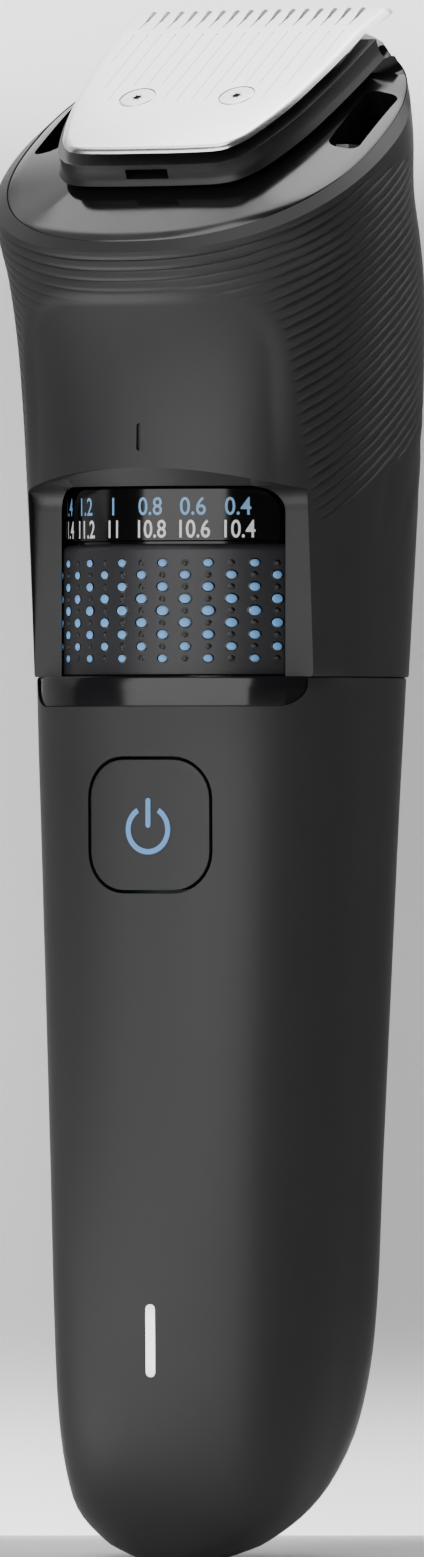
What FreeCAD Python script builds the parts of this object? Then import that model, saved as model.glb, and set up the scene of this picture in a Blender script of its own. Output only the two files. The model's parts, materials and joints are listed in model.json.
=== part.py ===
import FreeCAD, Part
import math
import os

# Cordless beard trimmer: a handle, a thumb wheel that sets the comb length, and a clip-on cutting head.
# Millimetres. +Z up, the front faces -Y. Pieces are modelled with the wheel's axis on X = Y = 0 and moved
# by AXIS_Y when they are written, so the origin is the middle of the whole outline, at its lowest point.
# Head pieces are modelled flat, with x across, y up the head and z off its face, and then leant back.

Vec = FreeCAD.Vector
X_AXIS = Vec(1, 0, 0)
Y_AXIS = Vec(0, 1, 0)
Z_AXIS = Vec(0, 0, 1)
ORIGIN = Vec(0, 0, 0)

# ---- body
SPLIT_Z = 97.4            # joint between the lower and upper housing; all above it and the battery follow it
WHEEL_R = 18.05           # the thumb wheel's radius; the body's girth and the rings inside follow it
AXIS_Y = 1.5              # how far the wheel's axis stands behind the middle of the outline
HEAD_LEAN = 31.0          # the head leans back by this many degrees
HEAD_DROP = 97.4          # the head's own heights are counted from this far below the split
RIM_N = 136.5             # rim plane, measured square to the head
WALL = 1.8
FOOT_TOP = 15.0           # above the rounded foot the body is lofted through even steps
SECTION_STEP = 5.5
TOP_WALL = 0.6            # least wall of the upper housing round the deck
STEP = 0.25               # the upper housing stands proud of the lower one by this much
OUTLINE_R = 18.05         # wheel radius that the outline below is drawn for

# Body outline: height, half-width, front depth, back depth, and how square the section is.
FOOT_STATIONS = [
    (0.0, 4.2, 13.6, -7.6, 2.2),
    (0.7, 6.4, 13.9, -5.6, 2.3),
    (1.8, 8.9, 14.5, -3.3, 2.5),
    (5.1, 12.6, 15.8, 1.1, 2.7),
    (9.0, 14.4, 16.7, 6.0, 2.8),
    (15.0, 15.8, 17.3, 10.6, 2.8),
    (25.0, 16.7, 17.5, 13.6, 2.8),
    (45.0, 17.35, 17.8, 14.9, 2.8),
]
# The same, with heights from the split.
TOP_STATIONS = [
    (-16.4, 18.7, 18.0, 16.5, 2.8),
    (-8.4, 19.15, 18.25, 17.1, 2.7),
    (0.0, 19.6, 19.1, 18.5, 2.5),
    (14.1, 20.2, 20.2, 20.2, 2.4),
    (23.2, 20.6, 20.7, 20.8, 2.4),
    (29.6, 20.9, 21.1, 21.1, 2.4),
    (37.3, 21.3, 21.9, 20.9, 2.4),
    (44.0, 21.8, 23.2, 20.0, 2.4),
    (48.6, 22.3, 24.5, 18.0, 2.4),
    (53.9, 22.7, 25.0, 15.9, 2.3),
    (60.6, 22.8, 25.0, 16.0, 2.2),
    (67.6, 21.4, 25.0, 16.8, 2.2),
    (74.6, 19.0, 25.0, 17.0, 2.2),
]
GIRTH = WHEEL_R / OUTLINE_R
STATIONS = [(z, w * GIRTH, f * GIRTH, b * GIRTH, p) for z, w, f, b, p in FOOT_STATIONS]
STATIONS += [(SPLIT_Z + z, w * GIRTH, f * GIRTH, b * GIRTH, p) for z, w, f, b, p in TOP_STATIONS]
TALL = STATIONS[-1][0]
FOOT_Y = (FOOT_STATIONS[0][3] - FOOT_STATIONS[0][2]) / 2 * GIRTH      # middle of the foot
SKIN_Y = -TOP_STATIONS[0][2] * GIRTH                                 # the handle's front at the button

# ---- wheel and window
WHEEL_GAP = 0.3           # round the wheel, to the housing
WHEEL_Z0 = SPLIT_Z + 0.15
GRIP_TOP = WHEEL_Z0 + 14.45
NUMBER_TOP = GRIP_TOP + 6.2
NUMBER_DROP = 0.55        # the number ring is this much smaller in radius than the grip
GRIP_WALL = 1.65
SLEEVE_WALL = 0.5
CAM_WALL = 2.4
SLEEVE_R = WHEEL_R - GRIP_WALL            # outside of the dot sleeve
CAM_R = SLEEVE_R - SLEEVE_WALL            # outside of the cam sleeve
BORE_R = CAM_R - CAM_WALL                 # and its bore
WINDOW_HALF = WHEEL_R - 4.45              # half-width of the opening at the wheel
WINDOW_OUTER = WHEEL_R - 0.75             # and at the skin
WINDOW_BEVEL = 2.0        # the top edge's bevel
SHOULDER_Y = -(WHEEL_R - 6.25)
LEDGE_DROP = 3.2          # the glossy ledge shows this far below the split
LEDGE_HALF = WHEEL_R - 1.35               # half-width of the ledge's glossy front
LEDGE_SINK = 0.2          # and how far that lies below the skin
LEDGE_R = WHEEL_R - 0.15
LEDGE_WALL = 3.3
SCOOP_HALF = WHEEL_R - 3.05
SCOOP_TOP = SPLIT_Z + 42.1
SCOOP_R = WHEEL_R + 2.05
FLANGE_TOP = NUMBER_TOP + 2.4             # top of the flange that keeps the wheel down
FLANGE_HOLE = BORE_R + 0.5
SETTINGS = 20
SETTING_STEP = 360.0 / 22
REST_SETTING = 2
LIFT_TOTAL = 9.6          # comb travel from the shortest to the longest setting
FOLLOWER_R = 0.9
FOLLOWER_GAP = 0.15
FOLLOWER_Z = WHEEL_Z0 + 5.95

# ---- comb carriage
CARRIAGE_GAP = 0.3
CARRIAGE_R = BORE_R - CARRIAGE_GAP
CARRIAGE_WALL = 1.9
RAIL_X = (CARRIAGE_R - 3.3, CARRIAGE_R - 1.6)
STEP_Z = (FLANGE_TOP + 3.4, FLANGE_TOP + 6.4)       # where the rails step out to the arms
ARM_X = (16.9, 18.4)
ARM_Y = (-5.6, -1.4)
ARM_TOP = SPLIT_Z + 58.6

# ---- button, light and charging inlet
BUTTON_Z = SPLIT_Z - 16.3
BUTTON_HALF = (7.3, 7.15)
BUTTON_GAP = 0.4
BUTTON_BACK = SKIN_Y + 2.0                # front of the flange behind the button
LIGHT_Z = (20.4, 28.4)
LIGHT_HALF = 0.575
INLET_Y = FOOT_Y + 0.9
INLET_HALF = (3.6, 1.7)
SYMBOL_Y = SKIN_Y + 0.3
SYMBOL_R = 2.45
SYMBOL_LINE = 0.6
FIT = 0.1                 # general clearance between fitted pieces

# ---- inside
BOARD_Y = (SKIN_Y + 5.4, SKIN_Y + 6.4)
SPINE_Y = (BOARD_Y[1] + 1.1, BOARD_Y[1] + 2.4)
CELL_R = 7.0
CELL_Y = 2.5
CELL_Z = (24.0, SPLIT_Z - 24.4)
MOTOR_R = 7.6
MOTOR_Z = (SPLIT_Z - 3.6, SPLIT_Z + 19.1)
THROW = 0.85              # offset of the drive pin from the motor's shaft
DRIVE_PIN_R = 0.9
FORK_Z = (SPLIT_Z + 25.3, SPLIT_Z + 29.0)
PIVOT_Z = SPLIT_Z + 40.6
BRIDGE_Z = (SPLIT_Z + 30.6, SPLIT_Z + 32.6)         # the drive frame's bridge plate
LEVER_TOP = SPLIT_Z + 54.1
LEVER_Y = (0.3, 2.9)
PIVOT_R = 1.0
RUN = 0.05                # radial clearance of a running pin
STROKE = 1.3              # the cutter moves this far each way
POST_S = 80.0
POST_R = 1.25
POST_ARM = 23.3           # from the pivot up to the cutter's driver
DRIVER_N = (139.75, 140.85)
BOOT_HALF = STROKE + POST_R + 0.85
CHASSIS_SCREW_X = LEDGE_R - 2.9
LATCH_HALF = 3.0
LATCH_S = (66.6, 68.4)
LATCH_N = 135.2

# ---- head
PLATE_TOP = 142.9
PLATE_EDGE = 141.4
PLATE_THICK = 0.5
BEND_S = 91.1
TIP_S = 97.0
TIP_DROP = 0.5
TEETH_GAPS = 16
TOOTH_PITCH = 1.743
TIP_HALF = (TEETH_GAPS - 1) / 2 * TOOTH_PITCH + 3.18
GAP_HALF = 0.42
GAP_ROOT = 92.0
FRAME_BOTTOM = 138.7
SCREW_X = 6.17
SCREW_S = 75.7
SCREW_R = 2.05
PLATEAU_N = 138.5
DECK_BOTTOM = 134.5
# Right half of the guard plate's outline, from the middle of its front edge up to the bend.
PLATE_OUTLINE = [(0, 63.5), (5.0, 63.55), (9.0, 63.9), (10.9, 65.3), (12.2, 67.8), (13.8, 73.3), (14.8, 79.7),
                 (15.4, 85.5), (15.8, BEND_S)]
DECK_CENTRE = 77.55
DECK_HALF = (WHEEL_R + 3.65, WHEEL_R + 4.95)
DECK_SCREW = (9.0, 92.0)
POCKET_X = (ARM_X[0] - 0.3, ARM_X[1] + 1.8)
POCKET_S = (73.8, 86.4)


# ---------------------------------------------------------------- helpers
def box(x, y, z):
    """A box from three (low, high) pairs."""
    return Part.makeBox(x[1] - x[0], y[1] - y[0], z[1] - z[0], Vec(x[0], y[0], z[0]))


def rod(radius, start, axis, length):
    return Part.makeCylinder(radius, length, Vec(*start), axis)


def tube(outer, inner, z):
    solid = rod(outer, (0, 0, z[0]), Z_AXIS, z[1] - z[0])
    return solid.cut(rod(inner, (0, 0, z[0] - 1), Z_AXIS, z[1] - z[0] + 2))


def rounded(shape, axis, radius):
    """Round the edges of a block that run along the axis."""
    edges = []
    for edge in shape.Edges:
        start = edge.Vertexes[0].Point
        end = edge.Vertexes[-1].Point
        along = end.sub(start)
        if along.Length > 1e-6 and abs(along.normalize().dot(axis)) > 0.999:
            edges.append(edge)
    return shape.makeFillet(radius, edges)


def slot(half, across, along, radius, axis):
    """A block with rounded corners: half sizes, centre, and the (low, high) it runs through."""
    x, v = across
    if axis == Y_AXIS:
        block = box((x - half[0], x + half[0]), along, (v - half[1], v + half[1]))
    else:
        block = box((x - half[0], x + half[0]), (v - half[1], v + half[1]), along)
    return rounded(block, axis, radius)


def lean(shape):
    """Lean a piece that was modelled flat back onto the head's slope."""
    shape.rotate(ORIGIN, X_AXIS, HEAD_LEAN)
    shape.translate(Vec(0, 0, SPLIT_Z - HEAD_DROP))
    return shape


def superellipse(half_x, half_y, centre_y, power, z, count=28):
    """A closed curve through points of a superellipse, lying flat at height z."""
    points = []
    for k in range(count):
        a = 2 * math.pi * (k + 0.5) / count
        cx = math.copysign(abs(math.cos(a)) ** (2 / power), math.cos(a))
        sy = math.copysign(abs(math.sin(a)) ** (2 / power), math.sin(a))
        points.append(Vec(half_x * cx, centre_y + half_y * sy, z))
    curve = Part.BSplineCurve()
    curve.interpolate(Points=points, PeriodicFlag=True)
    return Part.Wire([curve.toShape()])


def outline_at(z):
    """Half-width, front depth, back depth and power at a height, smoothly between the stations."""
    k = max(i for i in range(len(STATIONS) - 1) if STATIONS[i][0] <= z + 1e-9)
    z0, z1 = STATIONS[k][0], STATIONS[k + 1][0]
    t = (z - z0) / (z1 - z0)
    result = []
    for column in range(1, 5):
        slopes = []
        for i in (k, k + 1):
            before = STATIONS[max(i - 1, 0)]
            after = STATIONS[min(i + 1, len(STATIONS) - 1)]
            slopes.append((after[column] - before[column]) / (after[0] - before[0]) * (z1 - z0))
        a, b = STATIONS[k][column], STATIONS[k + 1][column]
        rise = (3 - 2 * t) * t * t
        lead_in = t * (1 - t) ** 2 * slopes[0]
        lead_out = t * t * (1 - t) * slopes[1]
        result.append(a + (b - a) * rise + lead_in - lead_out)
    return result


def body(inset, low, high):
    """The body's outline as a solid between two heights, taken in by a wall."""
    dense = [s[0] for s in STATIONS if low <= s[0] < FOOT_TOP]
    start = max(low, FOOT_TOP)
    count = max(int((high - start) / SECTION_STEP), 2)
    levels = dense + [start + (high - start) * k / count for k in range(count + 1)]
    wires = []
    for z in levels:
        width, front, back, power = outline_at(min(z, STATIONS[-1][0] - 1e-6))
        wires.append(superellipse(width - inset, (front + back) / 2 - inset, (back - front) / 2, power, z))
    return Part.makeLoft(wires, True, False)


def above_rim(level):
    """Everything more than this far up, square to the head."""
    return lean(box((-60, 60), (-60, 200), (level, level + 200)))


def plate_face(inset, level):
    """The guard plate's outline up to its bend, each point moved in square to the edge, as a flat face."""
    points = [(-x, s) for x, s in reversed(PLATE_OUTLINE[1:])] + PLATE_OUTLINE
    moved = []
    for k, (x, s) in enumerate(points):
        before = points[max(k - 1, 0)]
        after = points[min(k + 1, len(points) - 1)]
        run = Vec(after[0] - before[0], after[1] - before[1], 0).normalize()
        moved.append(Vec(x - run.y * inset, s + run.x * inset, level))
    side = Part.BSplineCurve()
    side.interpolate(moved)
    top = Part.LineSegment(moved[-1], moved[0])
    return Part.Face(Part.Wire([side.toShape(), top.toShape()]))


def gap_places():
    return [(k - (TEETH_GAPS - 1) / 2) * TOOTH_PITCH for k in range(TEETH_GAPS)]


def screw(radius, head, shank_r, shank, top):
    """A pan-head screw with a cross recess, head top at z = top, pointing down."""
    solid = rod(radius, (0, 0, top - head), Z_AXIS, head)
    solid = solid.fuse(rod(shank_r, (0, 0, top - head - shank), Z_AXIS, shank))
    reach = radius * 0.55
    for x, y in ((reach, radius * 0.14), (radius * 0.14, reach)):
        solid = solid.cut(box((-x, x), (-y, y), (top - head * 0.5, top + 1)))
    return solid


# ---------------------------------------------------------------- housings
def button_cut(extra, y):
    half = (BUTTON_HALF[0] + extra, BUTTON_HALF[1] + extra)
    return slot(half, (0, BUTTON_Z), y, 4.2 + extra, Y_AXIS)


def inlet_cut(extra, z):
    half = (INLET_HALF[0] + extra, INLET_HALF[1] + extra)
    return slot(half, (0, INLET_Y), z, half[1] - 0.01, Z_AXIS)


def ledge_front(extra):
    """The block behind the ledge's glossy front, seen from the front."""
    low = SPLIT_Z - LEDGE_DROP - extra
    return slot((LEDGE_HALF + extra, 6.0), (0, low + 6.0), (-40, -8), 2.5, Y_AXIS)


def lower_housing():
    shell = body(0, 0, SPLIT_Z)
    shell = shell.cut(body(WALL, 5.1, SPLIT_Z))
    ledge_room = rod(LEDGE_R + FIT, (0, 0, SPLIT_Z - LEDGE_DROP - 0.7), Z_AXIS, LEDGE_DROP + 1)
    shell = shell.cut(ledge_room)
    shell = shell.cut(ledge_front(0.08))
    shell = shell.cut(button_cut(BUTTON_GAP, (-40, -8)))
    flat = BUTTON_HALF[0] + 2.1
    shell = shell.cut(box((-flat, flat), (BUTTON_BACK - 0.3, -8), (BUTTON_Z - flat, BUTTON_Z + flat)))
    middle = (LIGHT_Z[0] + LIGHT_Z[1]) / 2
    half = (LIGHT_HALF + 0.03, (LIGHT_Z[1] - LIGHT_Z[0]) / 2 + 0.03)
    shell = shell.cut(slot(half, (0, middle), (-40, -8), LIGHT_HALF, Y_AXIS))
    return shell.cut(inlet_cut(0.9, (-1, 8)))


def arch(extra):
    """The block that the thumb scoop is cut with: an arch seen from the front."""
    half = SCOOP_HALF + extra
    top = SCOOP_TOP + extra
    middle = (SPLIT_Z + 10 + top) / 2
    block = slot((half, top - middle), (0, middle), (-40, -3), 8.0 + extra, Y_AXIS)
    return block


def scoop_core(inset):
    """What the thumb scoop leaves standing: round at the window, curving out to the skin at the top."""
    r = SCOOP_R - inset
    start = Vec(r, 0, SCOOP_TOP - 11.5)
    bend = Vec(r + 0.9, 0, SCOOP_TOP - 4.9)
    end = Vec(r + 3.2, 0, SCOOP_TOP + 0.3)
    curve = Part.Arc(start, bend, end).toShape()
    low = SPLIT_Z - 5
    corners = [end, Vec(r + 3.2, 0, TALL), Vec(0, 0, TALL), Vec(0, 0, low), Vec(r, 0, low), start]
    lines = [Part.LineSegment(a, b).toShape() for a, b in zip(corners, corners[1:])]
    return Part.Face(Part.Wire([curve] + lines)).revolve(ORIGIN, Z_AXIS, 360)


def window_cut():
    """The wheel's window: a straight opening, a flat shoulder at each side and a bevel along the top."""
    hole = slot((WINDOW_HALF, 20), (0, NUMBER_TOP - 20), (-40, -3), 3.0, Y_AXIS)
    shoulder = slot((WINDOW_OUTER, 20), (0, NUMBER_TOP - 20), (-40, SHOULDER_Y), 3.6, Y_AXIS)
    front = -(WHEEL_R + WHEEL_GAP)
    top = slot((WINDOW_OUTER, 20), (0, NUMBER_TOP + WINDOW_BEVEL - 20), (-40, front), 4.0, Y_AXIS)
    wedge = box((-40, 40), (-60, 60), (0, 60))
    wedge.rotate(ORIGIN, X_AXIS, -45)
    wedge.translate(Vec(0, front, NUMBER_TOP))
    return hole.fuse(shoulder).fuse(top.cut(wedge))


def deck_outline(clear, low, high, shrink=0.0):
    base = superellipse(DECK_HALF[0] + clear - shrink, DECK_HALF[1] + clear - shrink, DECK_CENTRE, 2.35, low)
    return Part.Face(base).extrude(Vec(0, 0, high - low))


def deck_boss(side):
    low = DECK_BOTTOM - 12.5
    return rod(2.4, (side * DECK_SCREW[0], DECK_SCREW[1], low), Z_AXIS, DECK_BOTTOM - FIT - low)


def upper_housing():
    shell = body(-STEP, SPLIT_Z, TALL).cut(above_rim(RIM_N))
    shell = shell.cut(arch(0).cut(scoop_core(0)))
    room = body(WALL, FLANGE_TOP, TALL)
    room = room.cut(arch(1.4).cut(scoop_core(1.4)))
    room = room.cut(above_rim(DECK_BOTTOM - FIT))
    boss = lean(deck_boss(-1).fuse(deck_boss(1)))
    room = room.cut(boss)
    shell = shell.cut(room)
    shell = shell.cut(rod(WHEEL_R + WHEEL_GAP, (0, 0, SPLIT_Z - 1), Z_AXIS, FLANGE_TOP - 1 - SPLIT_Z))
    shell = shell.cut(rod(FLANGE_HOLE, (0, 0, SPLIT_Z), Z_AXIS, FLANGE_TOP + 1 - SPLIT_Z))
    recess = lean(deck_outline(FIT, DECK_BOTTOM - 1.5, RIM_N + 5)).common(body(TOP_WALL, FLANGE_TOP, TALL))
    shell = shell.cut(recess)
    for side in (-1, 1):
        pilot = rod(0.9, (side * DECK_SCREW[0], DECK_SCREW[1], DECK_BOTTOM - 10.5), Z_AXIS, 20)
        shell = shell.cut(lean(pilot))
    return shell.cut(window_cut())


def deck():
    """The glossy deck: a slab rising to a plateau under the head, with two pockets for the comb's arms."""
    slab = deck_outline(0, DECK_BOTTOM, RIM_N - 0.05)
    foot = superellipse(DECK_HALF[0], DECK_HALF[1], DECK_CENTRE, 2.35, RIM_N - 0.05)
    top = superellipse(DECK_HALF[0] - 6.0, DECK_HALF[1] - 6.0, DECK_CENTRE, 2.35, PLATEAU_N)
    slab = slab.fuse(Part.makeLoft([foot, top], True, True))
    low = DECK_BOTTOM - 1
    tall = (low, PLATEAU_N + 3)
    for side in (-1, 1):
        x = side * (POCKET_X[0] + POCKET_X[1]) / 2
        s = (POCKET_S[0] + POCKET_S[1]) / 2
        half = ((POCKET_X[1] - POCKET_X[0]) / 2, (POCKET_S[1] - POCKET_S[0]) / 2)
        slab = slab.cut(slot(half, (x, s), tall, 1.2, Z_AXIS))
        slab = slab.cut(rod(1.15, (side * DECK_SCREW[0], DECK_SCREW[1], low), Z_AXIS, 20))
        slab = slab.cut(rod(2.15, (side * DECK_SCREW[0], DECK_SCREW[1], PLATEAU_N - 1.6), Z_AXIS, 20))
    slab = slab.cut(slot((BOOT_HALF + FIT, BOOT_HALF + FIT), (0, POST_S), tall, 2.0, Z_AXIS))
    latch = (LATCH_HALF + 0.3, (LATCH_S[1] - LATCH_S[0]) / 2 + 0.3)
    slab = slab.cut(slot(latch, (0, sum(LATCH_S) / 2), tall, 0.8, Z_AXIS))
    return lean(slab).common(body(TOP_WALL + FIT, FLANGE_TOP, TALL))


def deck_screw(side):
    piece = screw(2.0, 1.3, 0.85, 7.0, PLATEAU_N - 0.3)
    piece.translate(Vec(side * DECK_SCREW[0], DECK_SCREW[1], 0))
    return lean(piece)


# ---------------------------------------------------------------- wheel
def window_ledge():
    """The glossy ring that the wheel turns on; its front shows below the window."""
    top = WHEEL_Z0 - 0.1
    low = SPLIT_Z - LEDGE_DROP
    front = ledge_front(0).common(body(LEDGE_SINK, SPLIT_Z - 15, SPLIT_Z))
    front = front.cut(rod(LEDGE_R - 1, (0, 0, low - 1), Z_AXIS, 9))
    ring = tube(LEDGE_R, LEDGE_R - LEDGE_WALL, (low, top)).fuse(front).removeSplitter()
    for side in (-1, 1):
        ring = ring.cut(rod(0.8, (side * CHASSIS_SCREW_X, 0, low - 1), Z_AXIS, 2.8))
    return ring


def housing_seal():
    low = SPLIT_Z - LEDGE_DROP
    return tube(LEDGE_R - 0.1, LEDGE_R - 1.1, (low - 0.65, low))


def length_wheel():
    ring = tube(WHEEL_R, SLEEVE_R, (WHEEL_Z0, GRIP_TOP))
    rims = [e for e in ring.Edges if abs(e.CenterOfMass.z - GRIP_TOP) < 1e-6]
    edge = [e for e in rims if e.BoundBox.XLength > 2 * WHEEL_R - 1]
    return ring.makeFillet(0.9, edge)


def dot_sleeve():
    """The second shot of the wheel, whose dots come through the grip."""
    return tube(SLEEVE_R, CAM_R, (WHEEL_Z0, GRIP_TOP))


def number_ring():
    return tube(WHEEL_R - NUMBER_DROP, CAM_R, (GRIP_TOP, NUMBER_TOP))


def cam_sleeve():
    """The sleeve inside the wheel, with the helical groove that lifts the comb."""
    sleeve = tube(CAM_R, BORE_R, (WHEEL_Z0, NUMBER_TOP))
    lead = LIFT_TOTAL * 360 / ((SETTINGS - 1) * SETTING_STEP)
    below = REST_SETTING * SETTING_STEP
    above = (SETTINGS - 1 - REST_SETTING) * SETTING_STEP
    spare = 9.0
    turn = below + above + 2 * spare
    half = FOLLOWER_R + FOLLOWER_GAP
    low, high = BORE_R - 0.6, BORE_R + 1.5
    path = Part.makeHelix(lead, lead * turn / 360, (low + high) / 2)
    corners = [Vec(low, 0, -half), Vec(high, 0, -half), Vec(high, 0, half), Vec(low, 0, half)]
    profile = Part.makePolygon(corners + corners[:1])
    groove = Part.Wire(path.Edges).makePipeShell([profile], True, True)
    groove = groove.mirror(ORIGIN, Y_AXIS)
    groove.rotate(ORIGIN, Z_AXIS, 90 + below + spare)
    groove.translate(Vec(0, 0, FOLLOWER_Z - lead * (below + spare) / 360))
    return sleeve.cut(groove)


def click_spring():
    """The spring ring that gives the wheel its clicks, below the cam sleeve."""
    return Part.makeTorus(LEDGE_R - LEDGE_WALL - 0.6, 0.35, Vec(0, 0, WHEEL_Z0 - 0.75))


# ---------------------------------------------------------------- comb lift
def comb_carriage():
    """A ring inside the cam sleeve, two rails, and two arms that come up through the deck's pockets."""
    low = FOLLOWER_Z - 2.5
    carriage = tube(CARRIAGE_R, CARRIAGE_R - CARRIAGE_WALL, (low, FOLLOWER_Z + 2.5))
    inside, outside = min(RAIL_X[0], ARM_X[0]), max(RAIL_X[1], ARM_X[1])
    for side in (-1, 1):
        for x, z in ((RAIL_X, (low, STEP_Z[1])), ((inside, outside), STEP_Z), (ARM_X, (STEP_Z[0], ARM_TOP))):
            ends = sorted((side * x[0], side * x[1]))
            carriage = carriage.fuse(box(ends, ARM_Y, z))
    hole = rod(FOLLOWER_R, (0, CARRIAGE_R - CARRIAGE_WALL - 1, FOLLOWER_Z), Y_AXIS, 6)
    return carriage.cut(hole).removeSplitter()


def comb_follower_pin():
    start = CARRIAGE_R - CARRIAGE_WALL
    return rod(FOLLOWER_R, (0, start, FOLLOWER_Z), Y_AXIS, BORE_R + 1.3 - start)


# ---------------------------------------------------------------- button, light, board, battery
def power_button():
    """A rounded square cap whose front follows the handle, with a flange behind."""
    cap = button_cut(0, (-40, BUTTON_BACK + 0.1)).common(body(0, 0, SPLIT_Z))
    flange = BUTTON_HALF[0] + 1.2
    back = slot((flange, flange), (0, BUTTON_Z), (BUTTON_BACK, BUTTON_BACK + 0.8), 4.0, Y_AXIS)
    return cap.fuse(back).cut(symbol(0.02, (-40, SYMBOL_Y)))


def symbol(extra, y):
    """The on-off mark: an open ring with a bar in its gap."""
    radius = SYMBOL_R
    line = SYMBOL_LINE / 2 + extra
    middle = BUTTON_Z - 0.5
    ring = rod(radius + line, (0, y[0], middle), Y_AXIS, y[1] - y[0])
    ring = ring.cut(rod(radius - line, (0, y[0] - 1, middle), Y_AXIS, y[1] - y[0] + 2))
    ring = ring.cut(box((-1.25, 1.25), (y[0] - 1, y[1] + 1), (middle, middle + 6)))
    return ring.fuse(box((-line, line), y, (middle + 0.2, middle + radius + 0.9)))


def button_symbol():
    return symbol(0, (SYMBOL_Y - 0.27, SYMBOL_Y)).removeSplitter()


def button_seal():
    outer = BUTTON_HALF[0] + 2.0
    inner = BUTTON_HALF[0] + 1.35
    ring = slot((outer, outer), (0, BUTTON_Z), (BUTTON_BACK - 0.2, BUTTON_BACK + 1.1), 4.6, Y_AXIS)
    return ring.cut(slot((inner, inner), (0, BUTTON_Z), (-40, 0), 4.1, Y_AXIS))


def switch_body():
    front = BOARD_Y[0] - 1.8
    block = box((-3, 3), (front, BOARD_Y[0]), (BUTTON_Z - 3, BUTTON_Z + 3))
    return block.cut(rod(1.7, (0, front - 0.6, BUTTON_Z), Y_AXIS, 2.1))


def switch_plunger():
    return rod(1.6, (0, BUTTON_BACK + 0.85, BUTTON_Z), Y_AXIS, 1.7)


def light_guide():
    """A clear bar from the board's light to the handle's front."""
    middle = sum(LIGHT_Z) / 2
    half = (LIGHT_HALF, (LIGHT_Z[1] - LIGHT_Z[0]) / 2)
    back = BOARD_Y[0] - 1.0
    bar = slot(half, (0, middle), (-40, back), LIGHT_HALF - 0.01, Y_AXIS)
    bar = bar.common(body(0, 0, SPLIT_Z))
    return bar.fuse(box((-1.6, 1.6), (back - 1.6, back - 0.8), (LIGHT_Z[0] - 0.6, LIGHT_Z[1] + 0.6)))


def led_chip():
    middle = sum(LIGHT_Z) / 2
    return box((-0.8, 0.8), (BOARD_Y[0] - 0.8, BOARD_Y[0]), (middle - 1.5, middle + 1.5))


def circuit_board():
    return rounded(box((-9, 9), BOARD_Y, (18.5, SPLIT_Z - 9.4)), Y_AXIS, 1.5)


def chassis():
    """The inner frame: a spine plate behind the board, two side walls and three cross plates."""
    side = CELL_R + 0.8
    wall_top = SPLIT_Z - 7.4
    frame = box((-11.5, 11.5), SPINE_Y, (18.5, wall_top))
    for x in ((-side - 1.2, -side), (side, side + 1.2)):
        frame = frame.fuse(box(x, (SPINE_Y[0], 6.0), (18.5, wall_top)))
    for z in ((18.5, 20.5), (CELL_Z[1] + 3.5, CELL_Z[1] + 5.5)):
        frame = frame.fuse(box((-side - 1.2, side + 1.2), (SPINE_Y[0], 8.0), z))
    top = (MOTOR_Z[0] - 3.0, MOTOR_Z[0] - 0.9)
    plate = rod(LEDGE_R - LEDGE_WALL - 1.2, (0, 0, top[0]), Z_AXIS, top[1] - top[0])
    plate = plate.fuse(box((-LEDGE_R + 1.5, LEDGE_R - 1.5), (-3.0, 3.0), top))
    frame = frame.fuse(plate).fuse(box((-side, side), (-6, 6), (wall_top - 2.0, top[0])))
    frame = frame.fuse(box((-side - 1.2, side + 1.2), (SPINE_Y[0], 6.0), (wall_top - 1.5, top[0])))
    for x in (-CHASSIS_SCREW_X, CHASSIS_SCREW_X):
        frame = frame.cut(rod(0.95, (x, 0, top[0] - 1), Z_AXIS, 5))
    for z in (26.0, SPLIT_Z - 13.4):
        for x in (-6.5, 6.5):
            frame = frame.fuse(rod(1.1, (x, BOARD_Y[1], z), Y_AXIS, SPINE_Y[0] - BOARD_Y[1]))
    frame = frame.cut(rod(MOTOR_R + FIT, (0, 0, top[1] - 0.9), Z_AXIS, 3))
    return frame.removeSplitter()


def chassis_screw(side):
    piece = screw(1.5, 0.9, 0.75, 4.2, 0)
    piece.rotate(ORIGIN, X_AXIS, 180)
    piece.translate(Vec(side * CHASSIS_SCREW_X, 0, MOTOR_Z[0] - 3.9))
    return piece


def battery_cell():
    cell = rod(CELL_R, (0, CELL_Y, CELL_Z[0]), Z_AXIS, CELL_Z[1] - CELL_Z[0])
    edges = [e for e in cell.Edges if e.BoundBox.ZLength < 1e-6]
    return cell.makeFillet(0.6, edges).fuse(rod(2.4, (0, CELL_Y, CELL_Z[1]), Z_AXIS, 0.9))


def battery_tab(z, thick):
    """A spring contact at one end of the cell, folded down the spine."""
    fold = (SPINE_Y[1] + 0.1, SPINE_Y[1] + 0.6)
    plate = box((-2.5, 2.5), (fold[1], CELL_Y + 2.5), (z, z + thick))
    return plate.fuse(box((-2.5, 2.5), fold, (z - 2.0, z + thick + 2.0)))


def battery_pad():
    return box((-5, 5), (SPINE_Y[1] + 0.3, CELL_Y - CELL_R - 0.1), (CELL_Z[0] + 10.0, CELL_Z[1] - 11.0))


def charge_socket():
    """The charging inlet's body, with its nozzle through the bottom of the handle."""
    block = box((-5, 5), (INLET_Y - 2.9, INLET_Y + 2.9), (5.4, 14.0))
    nozzle = inlet_cut(0.8, (0.6, 6.0))
    return block.fuse(nozzle).cut(inlet_cut(0, (-1, 11.5))).removeSplitter()


def charge_pin(side):
    pin = rod(0.6, (side * 1.7, INLET_Y, 4.5), Z_AXIS, 7.0)
    edge = [e for e in pin.Edges if abs(e.CenterOfMass.z - 4.5) < 1e-6]
    return pin.makeFillet(0.3, edge)


def socket_seal():
    ring = slot((5.9, 3.8), (0, INLET_Y), (9.0, 10.2), 1.4, Z_AXIS)
    return ring.cut(box((-5, 5), (INLET_Y - 2.9, INLET_Y + 2.9), (8, 12)))


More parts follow.
